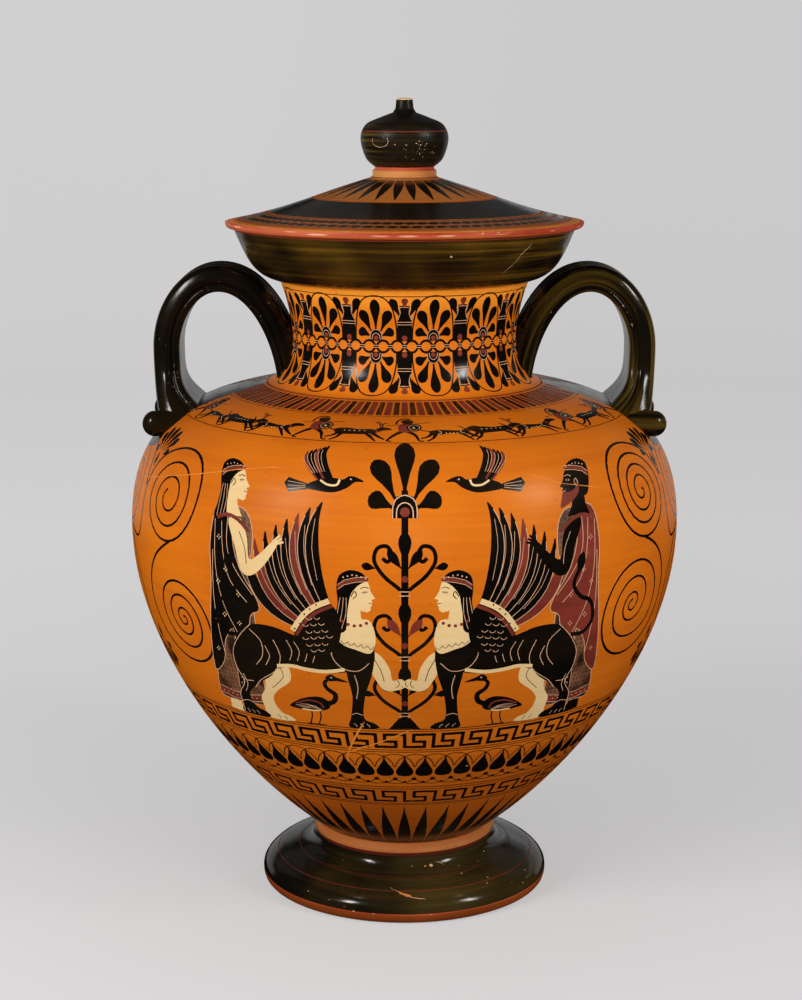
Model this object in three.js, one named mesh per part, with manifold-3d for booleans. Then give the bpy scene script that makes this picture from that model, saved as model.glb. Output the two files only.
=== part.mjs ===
// Lidded neck amphora in fired clay: one hollow vessel with two reeded handles, and a loose lid.
// Millimetres, +Z up, origin at the middle of the underside of the foot, handles towards +X and -X.

import * as THREE from 'three';
import * as BufferGeometryUtils from 'three/addons/utils/BufferGeometryUtils.js';
import Module from 'manifold-3d';

// Heights above the table
const footTopZ = 22.4;
const jointZ = 35;
const bodyStartZ = 44.4;
const bodyWidestZ = 265.7;
const neckBaseZ = 363.5;
const creaseZ = 434.5;
const rimZ = 470;

// Radii
const footRadius = 102.6;
const footStandRadius = 97;
const footHollowRadius = 70;
const stemRadius = 63.5;
const bodyRadius = 191.7;
const neckBaseRadius = 95.4;
const creaseRadius = 86.5;
const rimRadius = 118;
const rimInnerRadius = 106.5;

// Wall and hollow
const bodyWall = 7;
const neckWall = 8;
const floorZ = 49;
const footHollowTopZ = 39;

// Lid
const lidGap = 0.3;
const lidSeatZ = rimZ + lidGap;
const lidRadius = 123.6;
const lidEdgeZ = 474;
const collarRadius = 22;
const collarZ = 503.6;
const lidFlangeOuterRadius = 101.5;
const lidFlangeInnerRadius = 94.5;
const lidFlangeBottomZ = 460.5;
const lidHollowTopZ = 497;
const knobRadius = 30.2;
const knobWidestZ = 530;
const stubRadius = 6.1;
const lidTopZ = 557.5;

// Handles
const strapWidth = 46;
const strapThickness = 18.6;
const reedCount = 3;
const handleTopZ = 436;
const handleTopX = 128;
const handleOuterX = 164.3;
const rootFlareStartZ = 378;
const rootFlareEndZ = 335;
const rootWidening = 0.62;
const rootInwardFlare = 20;
const rivetRadius = 9;
const rivetLength = 16;
const rivetTip = { x: 179.7, y: 37, z: 338.5 };
const rivetSplay = THREE.MathUtils.degToRad(14);

const roundSegments = 44;

const wasm = await Module();
wasm.setup();

// A stretch of outline as a cubic curve from one [r, z] to another with two handles between
function curve(start, handleA, handleB, end, steps) {
  const points = [start, handleA, handleB, end].map(([r, z]) => new THREE.Vector2(r, z));
  return new THREE.CubicBezierCurve(...points).getPoints(steps);
}

function corner(r, z) {
  return new THREE.Vector2(r, z);
}

// One outline out of several stretches, without the points they share
function joinOutline(...stretches) {
  const outline = [];
  for (const point of stretches.flat()) {
    const last = outline[outline.length - 1];
    if (!last || last.distanceTo(point) > 0.01) outline.push(point);
  }
  return outline;
}

// The same outline moved towards the inside of the wall, seen as it runs upwards
function offsetInside(outline, wall) {
  return outline.map((point, index) => {
    const before = outline[Math.max(index - 1, 0)];
    const after = outline[Math.min(index + 1, outline.length - 1)];
    const along = after.clone().sub(before).normalize();
    return new THREE.Vector2(point.x - along.y * wall, point.y + along.x * wall);
  });
}

function lathe(outline) {
  return new THREE.LatheGeometry(outline, roundSegments).rotateX(Math.PI / 2);
}

function signedVolume(positions, triangles) {
  const [a, b, c] = [new THREE.Vector3(), new THREE.Vector3(), new THREE.Vector3()];
  let volume = 0;
  for (let i = 0; i < triangles.length; i += 3) {
    a.fromArray(positions, triangles[i] * 3);
    b.fromArray(positions, triangles[i + 1] * 3);
    c.fromArray(positions, triangles[i + 2] * 3);
    volume += a.dot(b.cross(c)) / 6;
  }
  return volume;
}

// A closed three.js geometry as a solid that can be joined and cut
function toSolid(geometry) {
  const bare = geometry.clone();
  bare.deleteAttribute('normal');
  bare.deleteAttribute('uv');
  const merged = BufferGeometryUtils.mergeVertices(bare, 1e-3);
  const positions = new Float32Array(merged.attributes.position.array);
  const index = merged.index.array;
  const triangles = [];
  for (let i = 0; i < index.length; i += 3) {
    const [a, b, c] = [index[i], index[i + 1], index[i + 2]];
    if (a !== b && b !== c && c !== a) triangles.push(a, b, c);
  }
  if (signedVolume(positions, triangles) < 0) triangles.reverse();
  const triVerts = new Uint32Array(triangles);
  return new wasm.Manifold(new wasm.Mesh({ numProp: 3, vertProperties: positions, triVerts }));
}

function toMesh(solid, name, material) {
  const { numProp, vertProperties, triVerts } = solid.getMesh();
  const positions = new Float32Array((vertProperties.length / numProp) * 3);
  for (let i = 0; i < positions.length / 3; i += 1) {
    positions.set(vertProperties.subarray(i * numProp, i * numProp + 3), i * 3);
  }
  const geometry = new THREE.BufferGeometry();
  geometry.setAttribute('position', new THREE.BufferAttribute(positions, 3));
  geometry.setIndex(new THREE.BufferAttribute(new Uint32Array(triVerts), 1));
  geometry.computeVertexNormals();
  const mesh = new THREE.Mesh(geometry, material);
  mesh.name = name;
  return mesh;
}

// Outer outline of the body and its wall's inner side
const bodyLower = curve(
  [62.3, bodyStartZ], [125.4, 91.1], [bodyRadius, 180.7], [bodyRadius, bodyWidestZ], 9);
const bodyUpper = curve(
  [bodyRadius, bodyWidestZ], [bodyRadius, 356.6], [121.6, 354.6], [neckBaseRadius, neckBaseZ], 9);
const neckSide = curve(
  [neckBaseRadius, neckBaseZ], [80, 370], [72, 400], [creaseRadius, creaseZ], 6);
const mouthSide = curve(
  [creaseRadius, creaseZ], [106, 437], [110, 452], [rimRadius, rimZ], 5);
const mouthInside = curve(
  [77.5, 433], [95, 438], [102, 452], [rimInnerRadius, rimZ], 4);

function footOutline() {
  const hollow = [
    corner(0, footHollowTopZ), corner(30, 37), corner(49, 27), corner(63, 9), corner(footHollowRadius, 0)];
  const torus = joinOutline(
    curve([footStandRadius, 0], [100.6, 0.8], [footRadius, 1.4], [footRadius, 8.4], 3),
    curve([footRadius, 8.4], [footRadius, 16], [91.1, 21.4], [87.7, footTopZ], 4));
  const rise = curve([77, 24.8], [70, 25.5], [65, 28], [stemRadius, jointZ], 3);
  const jointRing = [corner(64.4, 40), corner(62.3, bodyStartZ)];
  return joinOutline(hollow, torus, rise, jointRing);
}

function vesselSolid() {
  const outer = joinOutline(
    footOutline(), bodyLower, bodyUpper, neckSide, mouthSide, [corner(0, rimZ)]);
  const cavity = joinOutline(
    [corner(0, floorZ)],
    offsetInside(bodyLower, bodyWall).filter((point, index) => index % 2 === 0),
    offsetInside(bodyUpper, bodyWall).filter((point, index) => index % 2 === 1),
    offsetInside(neckSide, neckWall).filter((point, index) => index % 2 === 0 && index < 6),
    mouthInside,
    [corner(rimInnerRadius, rimZ + 10), corner(0, rimZ + 10)]);
  let solid = toSolid(lathe(outer));
  for (const side of [1, -1]) {
    solid = solid.add(handleSolid(side));
  }
  return solid.subtract(toSolid(lathe(cavity)));
}

// Cross-section of the strap: rolls along the outside, a groove in each edge, a flat inner face
function strapSection() {
  const half = strapThickness / 2;
  const reedPitch = (strapWidth - 17) / (reedCount - 1);
  const reedRadius = 8.3;
  const outline = [];
  for (let reed = 0; reed < reedCount; reed += 1) {
    const middle = (reed - (reedCount - 1) / 2) * reedPitch;
    for (const degrees of [-52, 0, 52]) {
      const angle = THREE.MathUtils.degToRad(degrees);
      const x = middle + Math.sin(angle) * reedRadius;
      outline.push(new THREE.Vector2(x, -half + reedRadius * (1 - Math.cos(angle))));
    }
  }
  const edge = [[strapWidth / 2, -1.2], [strapWidth / 2 - 1.8, 3.6], [strapWidth / 2 - 1.5, 6.4],
    [strapWidth / 2 - 6, half]];
  for (const [x, y] of edge) outline.push(new THREE.Vector2(x, y));
  for (const [x, y] of edge.toReversed()) outline.push(new THREE.Vector2(-x, y));
  return new THREE.Shape(outline);
}

function handlePath() {
  const at = (x, z) => new THREE.Vector3(x, 0, z);
  const path = new THREE.CurvePath();
  path.add(new THREE.CubicBezierCurve3(
    at(78.5, 362), at(79.5, 392), at(98, handleTopZ), at(handleTopX, handleTopZ)));
  path.add(new THREE.CubicBezierCurve3(
    at(handleTopX, handleTopZ), at(149, handleTopZ), at(handleOuterX, 412), at(handleOuterX, 388)));
  path.add(new THREE.CubicBezierCurve3(
    at(handleOuterX, 388), at(handleOuterX, 366), at(162, 350), at(157, 329)));
  return path;
}

// The strap spreads sideways and towards the neck where it meets the shoulder
function flareRoot(geometry) {
  const position = geometry.attributes.position;
  for (let i = 0; i < position.count; i += 1) {
    const [x, y, z] = [position.getX(i), position.getY(i), position.getZ(i)];
    if (x < handleTopX) continue;
    const spread = THREE.MathUtils.smoothstep(rootFlareStartZ - z, 0, rootFlareStartZ - rootFlareEndZ);
    const inner = THREE.MathUtils.clamp((handleOuterX - x) / (strapThickness / 2), 0, 1);
    position.setXYZ(i, x - rootInwardFlare * inner * spread ** 2, y * (1 + rootWidening * spread), z);
  }
  return geometry;
}

function rivetSolid(edge) {
  const rivet = new THREE.CapsuleGeometry(rivetRadius, rivetLength, 3, 10).rotateZ(Math.PI / 2);
  rivet.translate(-rivetLength / 2 - rivetRadius, 0, 0);
  rivet.rotateZ(edge * rivetSplay);
  rivet.translate(rivetTip.x, edge * rivetTip.y, rivetTip.z);
  return toSolid(rivet);
}

function handleSolid(side) {
  const strap = new THREE.ExtrudeGeometry(
    strapSection(), { steps: 16, bevelEnabled: false, extrudePath: handlePath() });
  let solid = toSolid(flareRoot(strap));
  for (const edge of [1, -1]) {
    solid = solid.add(rivetSolid(edge));
  }
  return side > 0 ? solid : solid.rotate(0, 0, 180);
}

function lidSolid() {
  const hollow = curve(
    [lidFlangeInnerRadius, 469], [70, 478], [55, 487], [0, lidHollowTopZ], 5).toReversed();
  const flange = [
    corner(lidFlangeInnerRadius, lidFlangeBottomZ), corner(lidFlangeOuterRadius - 1, lidFlangeBottomZ),
    corner(lidFlangeOuterRadius, lidSeatZ)];
  const edge = [corner(120.5, lidSeatZ), corner(123.2, 472)];
  const cone = curve([lidRadius, lidEdgeZ], [78, 483.1], [68.2, 490.2], [24, collarZ], 7);
  const collar = [corner(collarRadius, 508), corner(20.6, 511)];
  const knob = new THREE.SplineCurve([
    corner(20.6, 511), corner(27, 517.3), corner(knobRadius, knobWidestZ), corner(26.6, 539.5),
    corner(17, 544.2), corner(8, 547.6)]).getPoints(8);
  const stub = [corner(stubRadius, 550.5), corner(stubRadius - 0.6, lidTopZ - 0.8), corner(0, lidTopZ)];
  return toSolid(lathe(joinOutline(hollow, flange, edge, cone, collar, knob, stub)));
}

const vesselClay = new THREE.MeshStandardMaterial({
  name: 'painted_clay', color: 0xb8622a, roughness: 0.38, metalness: 0 });
const lidClay = new THREE.MeshStandardMaterial({
  name: 'lid_gloss', color: 0x1d1713, roughness: 0.3, metalness: 0 });

const amphora = new THREE.Group();
amphora.add(toMesh(vesselSolid(), 'vessel', vesselClay));
amphora.add(toMesh(lidSolid(), 'lid', lidClay));

export default amphora;
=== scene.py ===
import math
import random

import bmesh
import bpy
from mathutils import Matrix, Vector, geometry


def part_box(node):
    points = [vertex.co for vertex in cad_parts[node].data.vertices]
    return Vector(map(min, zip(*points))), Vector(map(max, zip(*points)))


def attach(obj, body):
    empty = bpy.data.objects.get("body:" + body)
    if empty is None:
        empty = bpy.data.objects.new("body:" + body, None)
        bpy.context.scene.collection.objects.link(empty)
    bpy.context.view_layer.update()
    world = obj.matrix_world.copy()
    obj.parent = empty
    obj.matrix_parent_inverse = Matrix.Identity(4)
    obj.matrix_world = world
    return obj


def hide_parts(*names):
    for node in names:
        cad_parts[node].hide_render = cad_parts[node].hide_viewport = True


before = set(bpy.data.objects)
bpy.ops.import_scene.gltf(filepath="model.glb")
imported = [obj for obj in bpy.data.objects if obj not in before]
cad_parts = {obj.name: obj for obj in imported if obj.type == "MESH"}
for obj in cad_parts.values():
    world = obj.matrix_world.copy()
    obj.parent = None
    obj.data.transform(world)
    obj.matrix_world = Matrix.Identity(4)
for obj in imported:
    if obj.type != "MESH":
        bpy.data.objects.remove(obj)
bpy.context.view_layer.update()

mm = 0.001
randomSeed = 7
random.seed(randomSeed)

# Smallest sizes: paint areas and cuts in square and plain millimetres, welds and edges in metres
leastArea = 1e-4
cutGap = 2e-3
weldGap = 4e-6
leastEdge = 1e-7

# A shape that fills more than this many times its own area, and this much besides, crosses itself
mostFilled = 1.2
filledSlack = 0.5

# Both sheets are cut open at the back, to the left of the middle
seamDegrees = -150


# Small helpers for outlines, all in millimetres as (radius, height)

def bezier(start, handleA, handleB, end, steps):
    points = []
    for i in range(steps + 1):
        t = i / steps
        a, b, c, d = (1 - t) ** 3, 3 * (1 - t) ** 2 * t, 3 * (1 - t) * t * t, t ** 3
        points.append(tuple(a * start[k] + b * handleA[k] + c * handleB[k] + d * end[k]
            for k in range(len(start))))
    return points


def join(*stretches):
    outline = []
    for point in [p for stretch in stretches for p in stretch]:
        if not outline or math.dist(point, outline[-1]) > 0.02:
            outline.append(point)
    return outline


def soften(outline, corners):
    # each (radius, height, size) corner becomes a small round one
    result = []
    for i, point in enumerate(outline):
        size = next((c[2] for c in corners if math.dist(point, c[:2]) < 0.05), None)
        if size is None or i in (0, len(outline) - 1):
            result.append(point)
            continue
        ends = []
        for other in (outline[i - 1], outline[i + 1]):
            share = min(size / math.dist(point, other), 0.49)
            ends.append(tuple(point[k] + (other[k] - point[k]) * share for k in (0, 1)))
        for step in range(5):
            t = step / 4
            result.append(tuple((1 - t) ** 2 * ends[0][k] + 2 * t * (1 - t) * point[k] + t * t * ends[1][k]
                for k in (0, 1)))
    return result


def offsetInside(outline, wall):
    moved = []
    for i, point in enumerate(outline):
        before, after = outline[max(i - 1, 0)], outline[min(i + 1, len(outline) - 1)]
        length = math.dist(before, after)
        along = ((after[0] - before[0]) / length, (after[1] - before[1]) / length)
        moved.append((point[0] - along[1] * wall, point[1] + along[0] * wall))
    return moved


# The jar's outline, from the middle of the foot's hollow round the outside and down inside

jar = {
    "rimHeight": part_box("vessel")[1][2] / mm,
    "bodyRadius": 191.7,
    "bodyWidest": 265.7,
    "footRadius": 102.6,
    "neckBase": (95.4, 363.5),
    "crease": (86.5, 434.5),
    "rimRadius": 118.0,
    "rimInner": 106.5,
    "bodyWall": 7.0,
    "neckWall": 8.0,
    "floor": 49.0,
    "roundSteps": 108,
    "sheetRadius": 150.0,
}


def jarOutline():
    widest = (jar["bodyRadius"], jar["bodyWidest"])
    rim = (jar["rimRadius"], jar["rimHeight"])
    rimInner = (jar["rimInner"], jar["rimHeight"])
    foot = jar["footRadius"]
    hollow = join(bezier((0, 39), (34, 39), (55, 26), (63, 9), 10), [(70, 0)])
    torus = join([(82, 0), (94, 0)], bezier((97, 0), (100.6, 0.8), (foot, 1.4), (foot, 8.4), 5),
        bezier((foot, 8.4), (foot, 16), (91.1, 21.4), (87.7, 22.4), 8))
    rise = bezier((77, 24.8), (70, 25.5), (65, 28), (63.5, 35), 6)
    ring = bezier((63.5, 35), (65.6, 37.2), (65.6, 41), (62.3, 44.4), 5)
    lower = bezier((62.3, 44.4), (125.4, 91.1), (widest[0], 180.7), widest, 34)
    upper = bezier(widest, (widest[0], 356.6), (121.6, 354.6), jar["neckBase"], 28)
    neck = bezier(jar["neckBase"], (80, 370), (72, 400), jar["crease"], 14)
    mouth = bezier(jar["crease"], (106, 437), (110, 452), rim, 12)
    mouthInside = bezier((77.5, 433), (95, 438), (102, 452), rimInner, 8)
    inside = join([(0, jar["floor"])], offsetInside(lower, jar["bodyWall"])[::3],
        offsetInside(upper, jar["bodyWall"])[2:-1:3], offsetInside(neck, jar["neckWall"])[1:-2:3],
        mouthInside)
    outline = join(hollow, torus, rise, ring, lower, upper, neck, mouth, [(112, rim[1])], inside[::-1])
    corners = [(70, 0, 1.2), (97, 0, 1.0), (77, 24.8, 1.5), (63.5, 35, 0.9), (62.3, 44.4, 0.8),
        jar["neckBase"] + (1.6,), jar["crease"] + (1.2,), rim + (1.0,), rimInner + (1.0,)]
    return soften(outline, corners)


def lidOutline():
    low = lid["seat"]
    hollow = bezier((0, 497), (55, 487), (70, 478), (94.5, 469), 12)
    flange = [(94.5, 460.5), (100.5, 460.5), (101.5, low)]
    edge = join([(111, low)], bezier((120.5, low), (122.6, low + 0.2), (123.6, 471.6), (123.6, 474), 4))
    cone = bezier((123.6, 474), (78, 483.1), (68.2, 490.2), (24, 503.6), 26)
    collar = bezier((22.3, 504.6), (21.6, 505.6), (22.4, 507.5), (21.9, 508.8), 4)
    waist = [(20.4, 509.6), (20.3, 511)]
    knob = smooth([(20.3, 511), (26.6, 517), (30.2, 530), (26.6, 539.5), (17, 544.2), (8, 547.6)], 6, False)
    stub = [(6.2, 550.5), (5.6, 556.6), (3.4, lid["top"] - 0.1), (0, lid["top"])]
    outline = join(hollow, flange, edge, cone, collar, waist, knob, stub)
    corners = [(94.5, 469, 1.0), (94.5, 460.5, 1.0), (100.5, 460.5, 1.0), (101.5, low, 0.8),
        (24, 503.6, 0.7), (5.6, 556.6, 0.6)]
    return soften(outline, corners)


def smooth(points, steps, closed=True):
    # a curve through the given points
    count = len(points)
    result = []
    spans = count if closed else count - 1
    for i in range(spans):
        ids = [(i + k - 1) % count if closed else min(max(i + k - 1, 0), count - 1) for k in range(4)]
        a, b, c, d = (points[k] for k in ids)
        for step in range(steps):
            t = step / steps
            result.append(tuple(0.5 * (2 * b[k] + (c[k] - a[k]) * t
                + (2 * a[k] - 5 * b[k] + 4 * c[k] - d[k]) * t * t + (3 * b[k] - a[k] - 3 * c[k] + d[k])
                * t ** 3) for k in (0, 1)))
    if not closed:
        result.append(points[-1])
    return result


lid = {
    "seat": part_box("vessel")[1][2] / mm + 0.3,
    "top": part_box("lid")[1][2] / mm,
    "roundSteps": 96,
    "sheetRadius": 90.0,
}


# A painted sheet is a turned outline unrolled flat: x runs round it, v along its outline.
# Shapes are laid on it one over the other, cut into it, and it is rolled up again.

def newSheet(outline, radius, roundSteps, seam):
    arcs = [0.0]
    for a, b in zip(outline, outline[1:]):
        arcs.append(arcs[-1] + math.dist(a, b))
    return {"outline": outline, "arcs": arcs, "radius": radius, "roundSteps": roundSteps,
        "seam": math.radians(seam), "shapes": []}


def spotOn(sheet, v):
    # radius and height at arc length v, with the outline point before it and the share past that point
    arcs, outline = sheet["arcs"], sheet["outline"]
    v = min(max(v, 0.0), arcs[-1])
    low, high = 0, len(arcs) - 1
    while high - low > 1:
        middle = (low + high) // 2
        if arcs[middle] <= v:
            low = middle
        else:
            high = middle
    t = (v - arcs[low]) / (arcs[high] - arcs[low])
    a, b = outline[low], outline[high]
    return a[0] + (b[0] - a[0]) * t, a[1] + (b[1] - a[1]) * t, low, t


def outlineNormals(sheet):
    arcs, outline = sheet["arcs"], sheet["outline"]
    normals = []
    for i in range(len(outline)):
        x = y = 0.0
        for a, b in ((i - 1, i), (i, i + 1)):
            if a < 0 or b >= len(outline):
                continue
            length = arcs[b] - arcs[a]
            x += (outline[b][1] - outline[a][1]) / length ** 2
            y += -(outline[b][0] - outline[a][0]) / length ** 2
        size = math.hypot(x, y)
        normals.append((x / size, y / size))
    return normals


def arcAt(sheet, height, outerFrom=0.0):
    # arc length on the outside at a height, past a given arc length
    arcs, outline = sheet["arcs"], sheet["outline"]
    for i in range(len(outline) - 1):
        if arcs[i] < outerFrom:
            continue
        low, high = outline[i][1], outline[i + 1][1]
        if low <= height <= high and high > low:
            return arcs[i] + (arcs[i + 1] - arcs[i]) * (height - low) / (high - low)
    return arcs[-1]


def flatArea(points):
    return 0.5 * sum(a[0] * b[1] - b[0] * a[1] for a, b in zip(points, points[1:] + points[:1]))


def addShape(sheet, outline, paint):
    # outline in (radians, arc length)
    points = [(theta * sheet["radius"], v) for theta, v in outline]
    area = 2 * flatArea(points)
    if abs(area) < leastArea:
        return
    sheet["shapes"].append((points if area > 0 else points[::-1], paint))


def addBand(sheet, vLow, vHigh, paint):
    steps = sheet["roundSteps"]
    turns = [sheet["seam"] + math.tau * i / steps for i in range(steps + 1)]
    addShape(sheet, [(turn, vLow) for turn in turns] + [(turn, vHigh) for turn in reversed(turns)], paint)


def chart(sheet, degrees, v, flip=1, x=0, y=0, size=1.0):
    # a place: its sheet, and flat millimetres at their true width from (x, y) off a spot on it
    theta = math.radians(degrees)

    def toSheet(point):
        down = v + y + point[1] * size
        return theta + (x + point[0] * size * flip) / spotOn(sheet, down)[0], down
    return sheet, toSheet


def fill(place, points, paint):
    sheet, toSheet = place
    addShape(sheet, [toSheet(point) for point in points], paint)


def stroke(place, points, width, paint, closed=False):
    # a painted or scratched line; width is one number, or one for each point
    count = len(points)
    sides = []
    for i, point in enumerate(points):
        before = points[i - 1] if closed or i > 0 else point
        after = points[(i + 1) % count] if closed or i < count - 1 else point
        dx, dy = after[0] - before[0], after[1] - before[1]
        length = math.hypot(dx, dy) or 1.0
        half = (width[i] if isinstance(width, list) else width) / 2
        sides.append(((point[0] - dy / length * half, point[1] + dx / length * half),
            (point[0] + dy / length * half, point[1] - dx / length * half)))
    spans = count if closed else count - 1
    for i in range(spans):
        a, b = sides[i], sides[(i + 1) % count]
        fill(place, [a[0], a[1], b[1], b[0]], paint)


def disc(place, x, y, radius, paint, sides=12, squeeze=1.0):
    fill(place, [(x + radius * math.cos(math.tau * i / sides),
        y + radius * squeeze * math.sin(math.tau * i / sides)) for i in range(sides)], paint)


def arcPoints(x, y, radius, startDegrees, endDegrees, steps, squeeze=1.0):
    points = []
    for i in range(steps + 1):
        angle = math.radians(startDegrees + (endDegrees - startDegrees) * i / steps)
        points.append((x + radius * math.cos(angle), y + radius * squeeze * math.sin(angle)))
    return points


def leaf(place, x, y, degrees, length, width, paint, belly=1.7, steps=8):
    # a petal from its narrow base at (x, y), pointing along the angle
    cos, sin = math.cos(math.radians(degrees)), math.sin(math.radians(degrees))
    half = [(t, width / 2 * math.sin(math.pi * t ** belly) ** 0.75)
        for t in [i / steps for i in range(1, steps)]]
    outline = [(0, 0.25)] + half + [(1, 0)] + [(t, -w) for t, w in reversed(half)] + [(0, -0.25)]
    fill(place, [(x + t * length * cos - w * sin, y + t * length * sin + w * cos) for t, w in outline],
        paint)


def petal(place, x, y, degrees, length, width, paint):
    # a club-shaped petal with a round end
    cos, sin = math.cos(math.radians(degrees)), math.sin(math.radians(degrees))
    half = [(0.0, 0.10), (0.22, 0.20), (0.44, 0.52), (0.6, 0.84), (0.74, 1.0), (0.87, 0.86), (0.96, 0.48)]
    outline = half + [(1.0, 0.0)] + [(t, -w) for t, w in reversed(half)]
    fill(place, [(x + t * length * cos - w * width / 2 * sin, y + t * length * sin + w * width / 2 * cos)
        for t, w in outline], paint)


def mirrorAcross(points):
    return [(-x, y) for x, y in reversed(points)]


def mirrorDown(points, up):
    # upside down where up is -1
    return [(x, y * up) for x, y in points]


def lineBand(sheet, v, width, paint):
    addBand(sheet, v - width / 2, v + width / 2, paint)


def flatGrid(sheet):
    # points of the unrolled grid, its lines round the sheet and the two that meet at the seam
    steps = sheet["roundSteps"]
    start = sheet["seam"] * sheet["radius"]
    pitch = math.tau * sheet["radius"] / steps
    points = []
    around = []
    seam = []
    for row, v in enumerate(sheet["arcs"]):
        for column in range(steps + 1):
            points.append(Vector((start + column * pitch, v)))
            here = row * (steps + 1) + column
            if column:
                around.append((here - 1, here))
            if row and column in (0, steps):
                seam.append((here - steps - 1, here))
    return points, around, seam


def cutShapes(sheet, points, edges):
    # cut the shapes into the grid, and give each triangle the paint that lies on top
    wide = math.tau * sheet["radius"]
    start = sheet["seam"] * sheet["radius"]
    points = list(points)
    faces = []
    paints = []
    for shape, paint in sheet["shapes"]:
        low, high = min(p[0] for p in shape), max(p[0] for p in shape)
        for shift in (-wide, 0.0, wide):
            if high + shift <= start or low + shift >= start + wide or (shift and high - low > wide):
                continue
            first = len(points)
            points.extend(Vector((x + shift, v)) for x, v in shape)
            faces.append(list(range(first, first + len(shape))))
            paints.append(paint)
    flat = geometry.delaunay_2d_cdt(points, edges, faces, 0, cutGap, True)
    flatPoints, flatFaces, pointSources, faceSources = flat[0], flat[2], flat[3], flat[5]
    areas = [flatArea([flatPoints[i] for i in ids]) for ids in flatFaces]
    filled = [0.0] * len(faces)
    for area, sources in zip(areas, faceSources):
        for source in sources:
            filled[source] += area
    # a shape whose outline crosses itself would flood the sheet
    sound = [filled[i] < mostFilled * abs(flatArea([points[k] for k in ids])) + filledSlack for i,
        ids in enumerate(faces)]
    print("shapes left out because their outline crosses itself:", len(sound) - sum(sound))
    kept = []
    facePaints = []
    for ids, sources in zip(flatFaces, faceSources):
        x = sum(flatPoints[i].x for i in ids) / 3
        v = sum(flatPoints[i].y for i in ids) / 3
        if start < x < start + wide and 0 < v < sheet["arcs"][-1]:
            whole = [source for source in sources if sound[source]]
            kept.append(ids)
            facePaints.append(paints[max(whole)] if whole else "clay")
    gridSpots = {source: i for i, sources in enumerate(pointSources) for source in sources}
    return flatPoints, kept, facePaints, gridSpots


def mergePaint(flatPoints, flatFaces, facePaints, gridSpots, gridCount, around):
    # cut again along the grid and the edges between paints only, which takes far fewer triangles
    left = {}
    for ids, paint in zip(flatFaces, facePaints):
        for a, b in zip(ids, ids[1:] + ids[:1]):
            left[a, b] = paint
    borders = [(a, b) for (a, b), paint in left.items() if left.get((b, a)) != paint
        and (a < b or (b, a) not in left)]
    grid = [gridSpots[i] for i in range(gridCount)]
    keep = sorted(set(grid) | {i for edge in borders for i in edge})
    place = {old: new for new, old in enumerate(keep)}
    edges = [(place[a], place[b]) for a, b in borders] + [(place[grid[a]], place[grid[b]]) for a,
        b in around]
    points = [flatPoints[i] for i in keep]
    flat = geometry.delaunay_2d_cdt(points, edges, [], 0, cutGap, True)
    newPoints, newEdges, newFaces, edgeSources = flat[0], flat[1], flat[2], flat[4]
    sides = {}
    for (a, b), sources in zip(newEdges, edgeSources):
        for source in sources:
            if source < len(borders):
                old = borders[source]
                same = (newPoints[b] - newPoints[a]).dot(flatPoints[old[1]] - flatPoints[old[0]]) > 0
                pair = (left.get(old), left.get(old[::-1]))
                sides[a, b], sides[b, a] = pair if same else pair[::-1]
    owner = {}
    for i, ids in enumerate(newFaces):
        for a, b in zip(ids, ids[1:] + ids[:1]):
            owner[a, b] = i
    paints = [None] * len(newFaces)
    known = [False] * len(newFaces)
    waiting = []
    for edge, paint in sides.items():
        if edge in owner and not known[owner[edge]]:
            paints[owner[edge]] = paint
            known[owner[edge]] = True
            waiting.append(owner[edge])
    while waiting:
        here = waiting.pop()
        ids = newFaces[here]
        for a, b in zip(ids, ids[1:] + ids[:1]):
            beside = owner.get((b, a))
            if (a, b) not in sides and beside is not None and not known[beside]:
                paints[beside] = paints[here]
                known[beside] = True
                waiting.append(beside)
    inside = [i for i, paint in enumerate(paints) if paint]
    return newPoints, [newFaces[i] for i in inside], [paints[i] for i in inside]


def pieceFromBmesh(bm, name, slots):
    mesh = bpy.data.meshes.new(name)
    bm.to_mesh(mesh)
    bm.free()
    for material in slots:
        mesh.materials.append(material)
    piece = bpy.data.objects.new(name, mesh)
    bpy.context.scene.collection.objects.link(piece)
    return piece


def buildSheet(sheet, name, bake):
    # roll the painted sheet up into a mesh
    radius = sheet["radius"]
    points, around, seam = flatGrid(sheet)
    cut = cutShapes(sheet, points, around + seam)
    flatPoints, flatFaces, facePaints = mergePaint(*cut, len(points), around)
    slots = {material.name: i for i, material in enumerate(paintList)}
    bm = bmesh.new()
    unrolled = bm.loops.layers.uv.new("unrolled")
    baked = bm.loops.layers.uv.new("OFBake")
    verts = []
    for point in flatPoints:
        r, z, _, _ = spotOn(sheet, point.y)
        theta = point.x / radius
        verts.append(bm.verts.new((r * math.sin(theta) * mm, -r * math.cos(theta) * mm, z * mm)))
    for ids, paint in zip(flatFaces, facePaints):
        face = bm.faces.new([verts[i] for i in ids])
        face.smooth = True
        face.material_index = slots[paint]
        for loop, i in zip(face.loops, ids):
            x, v = flatPoints[i]
            loop[unrolled].uv = (x * mm, v * mm)
            loop[baked].uv = bake((x - points[0].x) / (math.tau * radius), v)
    bmesh.ops.remove_doubles(bm, verts=bm.verts, dist=weldGap)
    bmesh.ops.dissolve_degenerate(bm, dist=leastEdge, edges=bm.edges)
    bmesh.ops.delete(bm, geom=[v for v in bm.verts if not v.link_faces], context="VERTS")
    return pieceFromBmesh(bm, name, paintList)


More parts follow.
